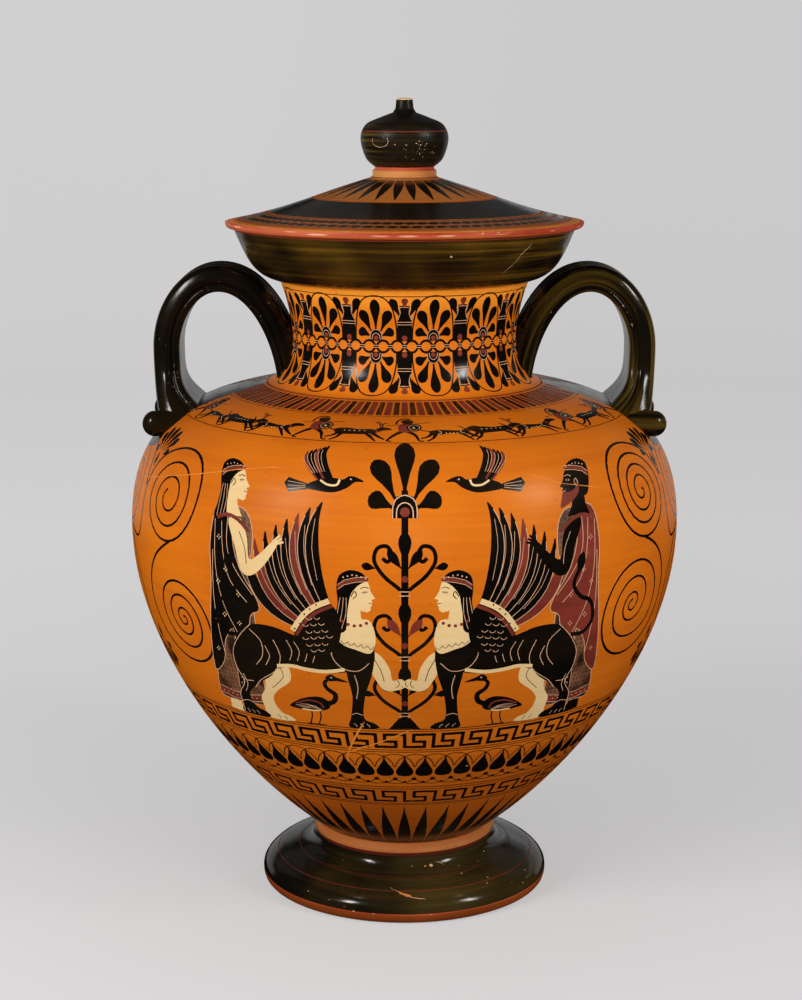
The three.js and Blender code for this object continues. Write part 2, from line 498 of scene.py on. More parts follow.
def setNormals(piece, sheet, ownSlots):
    # turned faces get the outline's own normals, and the rest the mean of their own faces
    normals = outlineNormals(sheet)
    mesh = piece.data
    sums = [Vector() for _ in mesh.vertices]
    for polygon in mesh.polygons:
        if polygon.material_index in ownSlots:
            for i in polygon.vertices:
                sums[i] += polygon.normal * polygon.area
    layer = mesh.uv_layers["unrolled"].data
    loopNormals = []
    for polygon in mesh.polygons:
        own = polygon.material_index in ownSlots
        for loopId in polygon.loop_indices:
            vertex = mesh.loops[loopId].vertex_index
            if own:
                loopNormals.append(sums[vertex].normalized())
                continue
            v = layer[loopId].uv[1] / mm
            _, _, low, t = spotOn(sheet, v)
            a, b = normals[low], normals[low + 1]
            out, up = a[0] + (b[0] - a[0]) * t, a[1] + (b[1] - a[1]) * t
            co = mesh.vertices[vertex].co
            size = math.hypot(co.x, co.y)
            if size < 1e-5:
                loopNormals.append(Vector((0, 0, 1 if up > 0 else -1)))
            else:
                loopNormals.append(Vector((out * co.x / size, out * co.y / size, up)).normalized())
    mesh.normals_split_custom_set(loopNormals)


# Materials: shared effects are groups, and each material places them with its own values

bumpStrength = 0.25
bumpDepth = 0.0003
evenTone = 0.58
claySpecular = 0.25

def newGroup(name, inputs, outputs):
    group = bpy.data.node_groups.new(name, "ShaderNodeTree")
    for label, value in inputs.items():
        group.interface.new_socket(label, in_out="INPUT",
            socket_type="NodeSocketFloat").default_value = value
    for label in outputs:
        group.interface.new_socket(label, in_out="OUTPUT", socket_type="NodeSocketFloat")
    return group


def addNode(tree, kind, values=None, **settings):
    node = tree.nodes.new(kind)
    for key, value in settings.items():
        setattr(node, key, value)
    for socket, value in (values or {}).items():
        if isinstance(value, bpy.types.NodeSocket):
            tree.links.new(value, node.inputs[socket])
        else:
            node.inputs[socket].default_value = value
    return node


def math2(tree, operation, a, b=0.0, clamp=False):
    return addNode(tree, "ShaderNodeMath", {0: a, 1: b}, operation=operation, use_clamp=clamp).outputs[0]


def times(tree, a, b, clamp=False):
    return math2(tree, "MULTIPLY", a, b, clamp)


def plus(tree, a, b, clamp=False):
    return math2(tree, "ADD", a, b, clamp)


def minus(tree, a, b):
    return math2(tree, "SUBTRACT", a, b)


def ramp(tree, value, low, high):
    # 0 below low, 1 above high, soft between
    node = addNode(tree, "ShaderNodeMapRange", {"Value": value, "From Min": low, "From Max": high})
    node.interpolation_type = "SMOOTHSTEP"
    return node.outputs[0]


def stretchedNoise(tree, size, scale, detail=3.0, roughness=0.55):
    # noise on object coordinates, stretched by a factor for each axis
    place = addNode(tree, "ShaderNodeTexCoord").outputs["Object"]
    mapping = addNode(tree, "ShaderNodeMapping", {"Vector": place, "Scale": size})
    noise = addNode(tree, "ShaderNodeTexNoise", {"Vector": mapping.outputs[0], "Scale": scale,
        "Detail": detail, "Roughness": roughness})
    return noise.outputs["Fac"]


def makeClayGroup():
    # mottled fired clay: cloudy tone, darker towards the foot in part as a stain and in part as painted
    # shade, a paler top of the neck as painted light, fine lines of the wheel, specks
    group = newGroup("firedClay", {"Cloud": 1.0, "Wheel": 1.0, "Specks": 1.0, "Painted Light From": 0.412,
        "Painted Light To": 0.434}, ["Tone", "Spot", "Height", "Pale"])
    source = group.nodes.new("NodeGroupInput")
    sink = group.nodes.new("NodeGroupOutput")
    cloud = stretchedNoise(group, (1, 1, 1.6), 9.0, 4.0)
    wheel = stretchedNoise(group, (5, 5, 260), 1.0, 3.0)
    grain = stretchedNoise(group, (1, 1, 1), 900.0, 2.0)
    cloudPart = times(group, minus(group, cloud, 0.5), source.outputs["Cloud"])
    wheelPart = times(group, minus(group, wheel, 0.5), source.outputs["Wheel"])
    grainPart = times(group, minus(group, grain, 0.5), 0.25)
    tone = plus(group, plus(group, cloudPart, wheelPart), grainPart)
    place = addNode(group, "ShaderNodeTexCoord").outputs["Object"]
    height = addNode(group, "ShaderNodeSeparateXYZ", {"Vector": place}).outputs[2]
    # darker towards the foot: in part a stain on the clay, in part painted shade where the body turns under
    lowStainAndShade = times(group, minus(group, ramp(group, height, 0.04, 0.16), 1.0), 0.55)
    group.links.new(plus(group, plus(group, tone, lowStainAndShade), evenTone, True), sink.inputs["Tone"])
    # the upper neck grows paler: painted light
    group.links.new(ramp(group, height, source.outputs["Painted Light From"], source.outputs["Painted Light To"]),
        sink.inputs["Pale"])
    cells = addNode(group, "ShaderNodeTexVoronoi", {"Vector": place, "Scale": 120.0})
    spot = minus(group, 1.0, ramp(group, cells.outputs["Distance"], 0.05, 0.13))
    rare = ramp(group, stretchedNoise(group, (1, 1, 1), 60.0, 1.0), 0.56, 0.66)
    spotPart = times(group, times(group, spot, rare), source.outputs["Specks"])
    group.links.new(spotPart, sink.inputs["Spot"])
    height = plus(group, times(group, wheel, 0.8), times(group, grain, 0.3))
    group.links.new(height, sink.inputs["Height"])
    return group


def makeGlossGroup():
    # black gloss: streaks of the brush, thin brown places, small losses down to the clay
    group = newGroup("blackGloss", {"Thin": 0.4, "Streak": 0.5, "Losses": 0.5, "Wear": 0.0, "Right": 0.0,
        "Side From": 0.0, "Side To": 0.13, "Lengthwise": 0.0}, ["Brown", "Loss", "Dull", "Height"])
    source = group.nodes.new("NodeGroupInput")
    sink = group.nodes.new("NodeGroupOutput")
    patch = stretchedNoise(group, (1, 1, 1.4), 7.0, 3.0)
    around = stretchedNoise(group, (5, 5, 260), 1.0, 5.0, 0.65)
    uv = addNode(group, "ShaderNodeUVMap", uv_map="unrolled").outputs[0]
    strip = addNode(group, "ShaderNodeMapping", {"Vector": uv, "Scale": (9, 130, 1)})
    along = addNode(group, "ShaderNodeTexNoise", {"Vector": strip.outputs[0], "Scale": 1.0, "Detail": 3.0})
    turned = times(group, minus(group, along.outputs["Fac"], around), source.outputs["Lengthwise"])
    streak = plus(group, around, turned)
    patchPart = times(group, ramp(group, patch, 0.42, 0.72), source.outputs["Thin"])
    streakPart = times(group, ramp(group, streak, 0.45, 0.75), source.outputs["Streak"])
    across = addNode(group, "ShaderNodeSeparateXYZ",
        {"Vector": addNode(group, "ShaderNodeTexCoord").outputs["Object"]})
    rightPart = times(group, ramp(group, across.outputs[0], source.outputs["Side From"],
        source.outputs["Side To"]), source.outputs["Right"])
    patchPart = plus(group, patchPart, times(group, rightPart, ramp(group, streak, 0.4, 0.62)))
    brown = plus(group, patchPart, times(group, streakPart, plus(group, patchPart, 0.25)), True)
    group.links.new(brown, sink.inputs["Brown"])
    fineChips = plus(group, stretchedNoise(group, (1, 1, 1), 330.0, 3.0, 0.7), source.outputs["Wear"])
    chip = ramp(group, fineChips, 0.66, 0.72)
    chipAreas = plus(group, stretchedNoise(group, (1, 1, 1), 26.0, 2.0), source.outputs["Wear"])
    where = ramp(group, chipAreas, 0.5, 0.68)
    loss = times(group, times(group, chip, where), source.outputs["Losses"], True)
    group.links.new(loss, sink.inputs["Loss"])
    fine = stretchedNoise(group, (1, 1, 1), 70.0, 4.0)
    group.links.new(plus(group, times(group, fine, 0.6), times(group, streak, 0.4)), sink.inputs["Dull"])
    ridges = times(group, times(group, streak, source.outputs["Streak"]), 0.3)
    height = minus(group, ridges, times(group, loss, 1.5))
    group.links.new(height, sink.inputs["Height"])
    return group


clayGroup = makeClayGroup()
glossGroup = makeGlossGroup()


def placeGroup(tree, group, values):
    node = addNode(tree, "ShaderNodeGroup", {}, node_tree=group)
    for label, value in values.items():
        node.inputs[label].default_value = value
    return node.outputs


def mixColor(tree, factor, a, b):
    node = addNode(tree, "ShaderNodeMix", {"Factor": factor}, data_type="RGBA")
    for socket, value in ((node.inputs[6], a), (node.inputs[7], b)):
        if isinstance(value, bpy.types.NodeSocket):
            tree.links.new(value, socket)
        else:
            socket.default_value = value + (1.0,)
    return node.outputs[2]


def newMaterial(name):
    material = bpy.data.materials.new(name)
    material.use_nodes = True
    tree = material.node_tree
    shader = tree.nodes["Principled BSDF"]
    return material, tree, shader


def bump(tree, shader, height):
    node = addNode(tree, "ShaderNodeBump", {"Height": height, "Strength": bumpStrength,
        "Distance": bumpDepth})
    tree.links.new(node.outputs[0], shader.inputs["Normal"])


def clayMaterial(name, bright, dark, rough=(0.3, 0.42), cloud=1.2, wheel=0.7, specks=0.6,
        spotColor=(0.2, 0.05, 0.01), pale=None):
    material, tree, shader = newMaterial(name)
    shader.inputs["Specular IOR Level"].default_value = claySpecular
    clay = placeGroup(tree, clayGroup, {"Cloud": cloud, "Wheel": wheel, "Specks": specks})
    color = mixColor(tree, clay["Tone"], dark, bright)
    # the paler top of the neck is painted light
    if pale:
        color = mixColor(tree, clay["Pale"], color, pale)
    color = mixColor(tree, clay["Spot"], color, spotColor)
    tree.links.new(color, shader.inputs["Base Color"])
    spread = addNode(tree, "ShaderNodeMapRange", {"Value": clay["Tone"], "To Min": rough[1],
        "To Max": rough[0]})
    tree.links.new(spread.outputs[0], shader.inputs["Roughness"])
    bump(tree, shader, clay["Height"])
    return material


def glossMaterial(name, black, brown, thin, streak, losses, rough=(0.14, 0.28), clay=(0.42, 0.13, 0.03),
        more=None):
    # more: further inputs of the group
    material, tree, shader = newMaterial(name)
    gloss = placeGroup(tree, glossGroup, {"Thin": thin, "Streak": streak, "Losses": losses} | (more or {}))
    color = mixColor(tree, gloss["Brown"], black, brown)
    color = mixColor(tree, gloss["Loss"], color, clay)
    tree.links.new(color, shader.inputs["Base Color"])
    spread = addNode(tree, "ShaderNodeMapRange", {"Value": gloss["Dull"], "From Min": 0.3, "From Max": 0.7,
        "To Min": rough[0], "To Max": rough[1]})
    tree.links.new(spread.outputs[0], shader.inputs["Roughness"])
    bump(tree, shader, gloss["Height"])
    return material


materials = {
    "clay": clayMaterial("clay", (0.65, 0.19, 0.011), (0.44, 0.108, 0.009)),
    # clay of the neck, paler up towards the mouth as painted light
    "paleClay": clayMaterial("paleClay", (0.66, 0.195, 0.012), (0.46, 0.125, 0.009),
        pale=(0.84, 0.33, 0.04)),
    "ringClay": clayMaterial("ringClay", (0.66, 0.33, 0.11), (0.36, 0.125, 0.038), (0.35, 0.5), 2.4, 1.4,
        0.8, (0.22, 0.05, 0.03)),
    "mendedClay": clayMaterial("mendedClay", (0.78, 0.28, 0.045), (0.46, 0.15, 0.03), (0.4, 0.55)),
    "rayGround": clayMaterial("rayGround", (0.44, 0.165, 0.04), (0.31, 0.10, 0.024), (0.35, 0.5)),
    "gloss": glossMaterial("gloss", (0.007, 0.005, 0.004), (0.022, 0.015, 0.007), 0.6, 0.3, 0.25),
    "streaked": glossMaterial("streaked", (0.009, 0.006, 0.004), (0.16, 0.088, 0.010), 0.7, 1.1, 0.45,
        (0.18, 0.34), more={"Right": 0.45}),
    "footGloss": glossMaterial("footGloss", (0.008, 0.006, 0.004), (0.060, 0.042, 0.012), 0.8, 0.6, 0.5,
        (0.09, 0.2)),
    "handleGloss": glossMaterial("handleGloss", (0.006, 0.005, 0.004), (0.11, 0.068, 0.009), 0.10, 0.18,
        0.9, (0.12, 0.26), (0.46, 0.33, 0.2), more={"Right": 0.6, "Lengthwise": 1.0}),
    # a pale speckled line along a strap edge: chips in the gloss, and in part a painted highlight
    "edgeWearAndHighlight": glossMaterial("edgeWearAndHighlight", (0.010, 0.008, 0.006), (0.06, 0.04, 0.010), 0.3, 0.4, 0.8,
        (0.1, 0.22), (0.50, 0.44, 0.36), more={"Wear": 0.055, "Lengthwise": 1.0}),
    "knobGloss": glossMaterial("knobGloss", (0.008, 0.006, 0.005), (0.10, 0.068, 0.016), 0.3, 0.5, 1.0,
        (0.32, 0.46), (0.5, 0.44, 0.34), more={"Right": 1.0, "Side From": -0.008, "Side To": -0.034}),
    "footRed": clayMaterial("footRed", (0.42, 0.12, 0.022), (0.21, 0.050, 0.010), (0.35, 0.5), 2.2, 0.9,
        1.0, (0.02, 0.012, 0.008)),
    "thin": glossMaterial("thin", (0.022, 0.009, 0.005), (0.085, 0.024, 0.009), 0.7, 0.6, 0.3, (0.3, 0.45)),
    "red": clayMaterial("red", (0.25, 0.050, 0.030), (0.11, 0.022, 0.014), (0.4, 0.6), 1.4, 0.9, 0.5,
        (0.4, 0.13, 0.05)),
    "rimRed": clayMaterial("rimRed", (0.56, 0.15, 0.075), (0.33, 0.050, 0.022), (0.4, 0.6), 3.4, 2.2, 1.6,
        (0.85, 0.62, 0.45)),
    "wornRed": clayMaterial("wornRed", (0.80, 0.50, 0.36), (0.52, 0.14, 0.08), (0.45, 0.65), 3.4, 2.4, 1.0,
        (0.4, 0.06, 0.03)),
    "white": clayMaterial("white", (0.80, 0.60, 0.33), (0.55, 0.36, 0.16), (0.5, 0.65), 1.2, 0.4, 0.7,
        (0.5, 0.2, 0.06)),
    "incised": clayMaterial("incised", (0.62, 0.40, 0.26), (0.46, 0.25, 0.14), (0.5, 0.7), 1.0, 0.2, 0.2),
    "leafGround": clayMaterial("leafGround", (0.34, 0.115, 0.030), (0.20, 0.06, 0.018), (0.3, 0.45)),
    "inside": clayMaterial("inside", (0.34, 0.12, 0.035), (0.20, 0.06, 0.018), (0.5, 0.7), 1.4, 1.2, 0.8,
        (0.05, 0.02, 0.01)),
}


def weaveMaterial():
    # patterned cloth: nested squares in thin light lines on brown black
    material, tree, shader = newMaterial("weave")
    uv = addNode(tree, "ShaderNodeUVMap", uv_map="unrolled").outputs[0]
    axes = addNode(tree, "ShaderNodeSeparateXYZ", {"Vector": uv}).outputs
    sides = []
    for axis, pitch in ((0, 0.0030), (1, 0.0036)):
        cell = math2(tree, "FRACT", math2(tree, "DIVIDE", axes[axis], pitch))
        sides.append(math2(tree, "ABSOLUTE", minus(tree, cell, 0.5)))
    reach = math2(tree, "MAXIMUM", sides[0], sides[1])
    squares = []
    for size in (0.43, 0.21):
        away = math2(tree, "ABSOLUTE", minus(tree, reach, size))
        squares.append(minus(tree, 1.0, ramp(tree, away, 0.03, 0.07)))
    lines = math2(tree, "MAXIMUM", squares[0], squares[1])
    worn = ramp(tree, stretchedNoise(tree, (1, 1, 1), 55.0, 3.0), 0.3, 0.6)
    color = mixColor(tree, times(tree, lines, worn), (0.022, 0.010, 0.007), (0.36, 0.17, 0.085))
    tree.links.new(color, shader.inputs["Base Color"])
    shader.inputs["Roughness"].default_value = 0.42
    return material


materials["weave"] = weaveMaterial()
paintList = list(materials.values())
print("materials ready:", len(paintList))


# Ornament bands of the jar

def turnLine(height, width, paint):
    lineBand(jarSheet, onJar(height), width, paint)


def jarBand(low, high, paint):
    addBand(jarSheet, onJar(low), onJar(high), paint)


def runningKey(sheet, vLow, vHigh, count, width, paint):
    # each unit is one unbroken line
    path = [(0, 0), (0.69, 0), (0.69, 0.44), (0.31, 0.44), (0.31, 1), (1, 1), (1, 0)]
    pitch = math.tau / count
    height = vHigh - vLow
    for unit in range(count):
        for a, b in zip(path, path[1:]):
            v0, v1 = sorted((vLow + a[1] * height, vLow + b[1] * height))
            t0, t1 = sorted(((unit + a[0]) * pitch, (unit + b[0]) * pitch))
            half = width / 2
            turn = half / spotOn(sheet, (v0 + v1) / 2)[0]
            addShape(sheet, [(t0 - turn, v0 - half), (t1 + turn, v0 - half), (t1 + turn, v1 + half),
                (t0 - turn, v1 + half)], paint)


def rays(sheet, vBase, vTip, count, halfWidths, paint, phase=0.0):
    # narrow triangles, broad at vBase
    for unit in range(count):
        theta = math.tau * (unit + phase) / count
        lean = random.uniform(-0.006, 0.006)
        left = []
        right = []
        for t, half in halfWidths:
            v = vBase + (vTip - vBase) * t
            turn = half / spotOn(sheet, v)[0]
            left.append((theta - turn + lean * t, v))
            right.append((theta + turn + lean * t, v))
        addShape(sheet, right + left[::-1], paint)


def budChain(sheet, v, count):
    # pointed buds linked by thin arcs, with dots below
    half = [(0, 0.0), (1.7, 0.9), (4.4, 1.8), (5.8, 4.6), (5.7, 7.4), (4.0, 11.2), (2.2, 14.6), (0.9, 18.2),
        (0.2, 22.4)]
    pitch = 360 / count
    width = math.radians(pitch) * spotOn(sheet, v + 10)[0]
    for unit in range(count):
        mid = chart(sheet, (unit + 0.5) * pitch, v)
        stroke(mid, arcPoints(0, 10.5, width * 0.98, 178, 2, 9, 1.1), 0.75, "thin")
        stroke(mid, arcPoints(0, -0.5, width * 0.92, 180, 360, 8, 0.62), 0.75, "thin")
        disc(mid, 0, -2.4, 1.75, "gloss", 7)
        disc(chart(sheet, unit * pitch, v), 0, -5.9, 1.4, "gloss", 6, 0.85)
    for unit in range(count):
        place = chart(sheet, unit * pitch, v, 1 if unit % 2 else -1)
        fill(place, half[1:] + mirrorAcross(half[1:]), "gloss")


def tongues(sheet, vLow, vHigh, count):
    # black and red tongues by turns, each outlined
    for unit in range(count * 2):
        theta = math.pi * unit / count
        pitch = math.pi / count
        paint = "gloss" if unit % 2 else "red"
        share = 0.36 if unit % 2 else 0.40
        outline = [(theta - pitch * share, vHigh), (theta - pitch * share, vLow + 1.2),
            (theta - pitch * share * 0.6, vLow + 0.3), (theta + pitch * share * 0.6, vLow + 0.3),
            (theta + pitch * share, vLow + 1.2), (theta + pitch * share, vHigh)]
        addShape(sheet, outline[::-1], paint)


def palmette(place, up):
    # five petals over a heart with incised arches; up is 1 or -1
    for x, y, degrees, length, width in ((0, 9.0, 90, 23.4, 7.0), (2.6, 8.8, 65, 17.2, 6.8),
            (-2.6, 8.8, 115, 17.2, 6.8), (3.0, 6.6, 25, 9.8, 6.6), (-3.0, 6.6, 155, 9.8, 6.6)):
        petal(place, x, y * up, degrees * up, length, width, "gloss")
    arch = [(4.4, 3.6), (4.3, 7.6), (3.0, 10.6), (0, 12.0), (-3.0, 10.6), (-4.3, 7.6), (-4.4, 3.6)]
    fill(place, mirrorDown(arch, up), "gloss")
    for size in (0.62, 0.92):
        inner = [(x * size, (3.6 + (y - 3.6) * size) * up) for x, y in arch]
        stroke(place, smooth(inner, 2, False), 0.42, "incised")
    disc(place, 0, 5.6 * up, 1.7, "red", 8)


def lotus(place, up):
    # a narrow trunk, a bell-shaped cup with a red tip, and a round-ended lobe on each side
    trunk = [(5.6, 3.6), (5.0, 9.0), (4.8, 14.0), (4.6, 18.0), (3.5, 22.0), (3.2, 25.0), (3.8, 27.6),
        (0, 28.2)]
    trunk = trunk + mirrorAcross(trunk[:-1])
    fill(place, mirrorDown(trunk, up), "gloss")
    for side in (1, -1):
        petal(place, 2.6 * side, 19.0 * up, (90 - 26 * side) * up, 15.2, 6.0, "gloss")
        cup = [(4.5 * side, 18.0 * up), (3.1 * side, 21.5 * up), (3.0 * side, 24.5 * up),
            (4.0 * side, 27.6 * up)]
        stroke(place, smooth(cup, 2, False), 0.42, "incised")
    petal(place, 0, 25.6 * up, 90 * up, 7.6, 4.6, "red")
    stroke(place, [(x, (27.0 - x * x * 0.03) * up) for x in (-4.2, 0, 4.2)], 0.45, "incised")
    for y in (14.6, 16.4):
        stroke(place, [(-4.8, y * up), (4.8, y * up)], 0.42, "incised")
    disc(place, 0, 5.6 * up, 1.9, "red", 8)


def neckChain(sheet, periods):
    # palmettes and lotus flowers above and below a chain of rings
    v = onJar(396.8)
    pitch = 360 / periods
    for unit in range(periods):
        flower = chart(sheet, (unit + 0.5) * pitch, v)
        frond = chart(sheet, unit * pitch + pitch, v)
        for up in (1, -1):
            lotus(frond, up)
            loop = [(13.9, 3.6), (14.0, 10), (13.2, 18), (11.4, 26.5), (8.2, 31.8), (4.0, 34.3), (0, 34.8)]
            loop = loop + mirrorAcross(loop[:-1])
            ring = mirrorDown(smooth(loop, 2, False), up)
            # the loops take the neck's clay with its painted light
            fill(flower, ring, "paleClay")
            stroke(flower, ring, 0.95, "gloss")
            palmette(flower, up)
    rings = periods * 4
    for unit in range(rings):
        place = chart(sheet, (unit + 0.5) * 360 / rings, v)
        disc(place, 0, 0, 4.7, "gloss", 12, 1.02)
        # the middles of the rings take the neck's clay with its painted light
        disc(place, 0, 0, 3.2, "paleClay", 11)
    for unit in range(rings):
        link = chart(sheet, unit * 360 / rings, v)
        fill(link, [(-1.5, -1.7), (1.5, -1.7), (1.5, 1.7), (-1.5, 1.7)], "gloss")
        for y in (-0.7, 0.7):
            stroke(link, [(-1.9, y), (1.9, y)], 0.4, "incised")


# Spirals at the handles: marks in millimetres from the axis of each pair, through which the line runs

scrolls = {
    "axis": 68.5,
    "middle": 271.1,
    "outerWidth": 1.85,
    "innerWidth": 1.35,
    "marks": (
        {
            "upperCentre": (41.0, 30.0),
            "upper": [(36.4, 34.5), (33.5, 27.4), (43.6, 21.7), (50.2, 36.3), (32.8, 43.8), (24.3, 25.7),
                (45.3, 11.0), (56.3, 44.3), (31.8, 55.3), (15.1, 24.8), (48.8, 1.3), (70.9, 18.6),
                (64.4, 51.3), (27.7, 65.5), (13.2, 56.7), (5.1, 43.4), (1.2, 31.4)],
            "lowerCentre": (55.5, -50.5),
            "lower": [(48.8, 1.3), (41.2, -2.2), (26.4, -14.2), (16.6, -30.1), (13.1, -46.0), (15.5, -63.6),
                (29.8, -77.4), (49.9, -81.5), (67.9, -77.1), (81.0, -62.9), (77.6, -37.1), (66.8, -27.6),
                (50.3, -23.9), (34.4, -34.7), (30.0, -53.3), (37.1, -65.6), (56.4, -71.0), (71.2, -58.9),
                (66.8, -39.6), (52.9, -32.8), (41.4, -41.4), (43.9, -56.5), (57.9, -61.1), (63.8, -53.8),
                (60.6, -44.4), (52.5, -42.7), (49.6, -49.1), (54.5, -54.5), (58.4, -51.5), (56.0, -48.6)],
        },
        {
            "upperCentre": (37.6, 34.5),
            "upper": [(35.6, 35.2), (33.5, 33.2), (39.5, 30.5), (42.3, 41.6), (32.1, 45.1), (26.5, 28.8),
                (41.3, 22.1), (46.5, 46.9), (29.3, 52.7), (17.7, 27.4), (42.2, 13.7), (53.4, 51.8),
                (25.6, 59.3), (7.9, 25.7), (41.4, 3.5), (62.5, 16.1), (60.3, 58.0), (27.1, 70.4),
                (11.8, 60.6), (4.7, 50.5), (0.6, 38.5)],
            "lowerCentre": (51.5, -40.0),
            "lower": [(41.4, 3.1), (26.4, -4.5), (13.3, -18.2), (7.3, -33.2), (7.5, -51.0), (13.0, -67.2),
                (28.0, -76.6), (48.9, -77.6), (68.6, -67.6), (79.6, -49.0), (79.6, -29.7), (68.9, -16.2),
                (47.5, -11.5), (26.6, -24.2), (17.3, -43.9), (20.9, -57.2), (31.9, -64.4), (50.5, -63.5),
                (68.4, -46.3), (66.1, -27.9), (49.0, -22.2), (34.8, -31.9), (34.7, -46.8), (47.8, -53.2),
                (59.0, -43.0), (53.6, -32.9), (44.8, -36.8), (48.0, -46.1), (53.9, -41.4), (51.7, -37.6)],
        },
    ),
}


def spiralLine(centre, marks, steps):
    # a smooth line through the marks, turning about the centre
    polar = []
    for x, y in marks:
        angle = math.atan2(y - centre[1], x - centre[0])
        if polar:
            angle += math.tau * round((polar[-1][0] - angle) / math.tau)
            angle += math.tau if angle < polar[-1][0] - 0.3 else 0.0
        polar.append((angle, math.dist((x, y), centre)))
    line = smooth(polar, steps, False)
    even = []
    for i, (angle, _) in enumerate(line):
        span = min(i, len(line) - 1 - i, steps + steps // 2)
        near = [reach for _, reach in line[i - span:i + span + 1]]
        even.append((angle, sum(near) / len(near)))
    return [(centre[0] + reach * math.cos(angle), centre[1] + reach * math.sin(angle)) for angle,
        reach in even]


def scroll(sheet, degrees, flip, marks, squeeze):
    # a spiral above, and below it one that leaves it in a tangent and turns the same way
    place = chart(sheet, degrees, onJar(scrolls["middle"]), flip)
    for part, inward in (("upper", False), ("lower", True)):
        line = spiralLine(marks[part + "Centre"], marks[part], 7)
        if inward:
            line.reverse()
        growth = [scrolls["innerWidth"] + (scrolls["outerWidth"] - scrolls["innerWidth"]) * i / len(line)
            for i in range(len(line))]
        line = [(x * squeeze, y) for x, y in line]
        stroke(place, line, growth, "gloss")
        disc(place, line[0][0], line[0][1], 1.0, "gloss", 9)


def handleOrnament(sheet, side, front, marks):
    degrees = side * (90 - front * (90 - scrolls["axis"]))
    # the scrolls under the handle have less room than those beside the picture
    scroll(sheet, degrees, side * front, marks, 0.9 if front > 0 else 0.8)
    scroll(sheet, degrees, -side * front, marks, 1.0)
    place = chart(sheet, degrees, onJar(scrolls["middle"]), -side * front)
    stroke(place, smooth([(0.6, 34), (1.2, 18), (-1.0, 4), (-6.0, -4), (-14.0, -5.5), (-24, -3.4),
        (-34, -0.5), (-42, 1.5)], 4, False), 1.7, "gloss")
    for angle, near, far in ((90, 6, 27), (69, 7, 27), (111, 7, 27), (50, 9, 25), (130, 9, 25), (30, 9, 17),
            (150, 9, 17)):
        cos, sin = math.cos(math.radians(angle)), math.sin(math.radians(angle))
        petal(place, near * cos * 0.8, 50 + near * sin, angle, far - near, 6.0, "gloss")
        petal(place, near * cos * 0.8, -74 - near * sin, -angle, far - near, 6.0, "gloss")
    fill(place, [(0, 44), (2.6, 50), (0, 56), (-2.6, 50)], "gloss")
    fill(place, [(0, -66), (2.8, -73), (0, -80), (-2.8, -73)], "gloss")


# Painted picture: figures in millimetres, x along the ground line and y up from it, facing right

def curve(place, points, paint, steps=4):
    fill(place, smooth(points, steps), paint)


def scratch(place, points, width=0.5, steps=4, paint="incised"):
    stroke(place, smooth(points, steps, False) if len(points) > 2 else points, width, paint)


def head(place, x, y, flesh, size, beard=False):
    # a head in profile: plain face, hair with a band, almond eye
    line = "gloss" if flesh == "white" else "incised"

    def at(points):
        return [(x + px * size, y + py * size) for px, py in points]
    neck = at([(-5.5, -3), (2.5, -8), (3.0, -13), (6.0, -18.5), (-9.5, -18.5), (-6.5, -12)])
    fill(place, neck, flesh)
    face = at([(3, 9.5), (6.2, 7.8), (7.6, 4.4), (7.9, 2.2), (9.3, -0.2), (10.6, -2.0), (8.7, -2.7),
        (8.5, -3.5), (9.4, -4.3), (8.5, -5.0), (9.0, -5.9), (8.0, -6.9), (8.2, -8.6), (6.4, -9.9),
        (3.2, -9.2), (0.0, -7.0), (-4, -4), (-5, 3), (-2, 8)])
    fill(place, face, flesh)
    if beard:
        curve(place, at([(-1.5, -0.5), (0.5, -4.0), (4.5, -5.6), (8.6, -5.4), (9.4, -7.5), (10.5, -13.5),
            (6.5, -12.5), (1.0, -9.5), (-2.5, -5.5)]), "red", 3)
        curve(place, at([(6.6, 7.6), (3.5, 11.6), (-3, 13.0), (-8.8, 9.8), (-10.4, 3), (-10.0, -3),
            (-8.5, -7.6), (-5.0, -8.4), (-3.2, -4), (-2.4, 0), (0.8, 4.2), (4.0, 6.4)]), "gloss", 3)
    else:
        curve(place, at([(6.6, 7.6), (3.5, 11.6), (-3, 13.0), (-8.8, 9.8), (-10.2, 3), (-9.6, -5),
            (-11.5, -13), (-14.0, -20), (-9.6, -22.5), (-5.2, -20.5), (-4.6, -12), (-3.6, -5), (-2.4, 0),
            (0.8, 4.2), (4.0, 6.4)]), "gloss", 3)
        for shift in (-2.4, 0.0, 2.2):
            scratch(place, at([(-6.5 + shift * 0.7, -2), (-7.4 + shift, -11), (-9.6 + shift * 0.9, -20)]),
                0.4, 3)
    stroke(place, at([(-9.6, 3.6), (-6.0, 6.2), (-1.0, 7.6), (3.5, 8.2), (6.9, 8.3)]), 1.7 * size, "red")
    for shift in (-1.25, 1.25):
        stroke(place, at([(-9.6, 3.6 + shift), (-6.0, 6.2 + shift), (-1.0, 7.6 + shift), (3.5, 8.2 + shift),
            (6.9, 8.3 + shift)]), 0.35 * size, "incised")
    for i in range(6):
        px = -6.5 + i * 2.4
        disc(place, x + px * size, y + (10.6 - abs(px + 1) * 0.28) * size, 0.5 * size, "incised", 6)
    eye = at([(3.4, 1.1), (4.9, 2.1), (6.6, 1.5), (5.0, 0.4)])
    fill(place, eye, line)
    disc(place, x + 5.0 * size, y + 1.25 * size, 0.75 * size, "white" if flesh == "white" else "gloss", 7)
    disc(place, x + 5.0 * size, y + 1.25 * size, 0.42 * size, "red", 6)
    stroke(place, at([(2.6, 3.2), (4.8, 4.2), (7.2, 3.5)]), 0.42 * size, line)
    stroke(place, at([(6.9, -4.6), (8.6, -4.9)]), 0.35 * size, line)
    scratch(place, at([(-2.4, -1.4), (-0.6, 1.6), (0.6, -0.4), (-1.2, -2.6)]), 0.5 * size, 3, line)


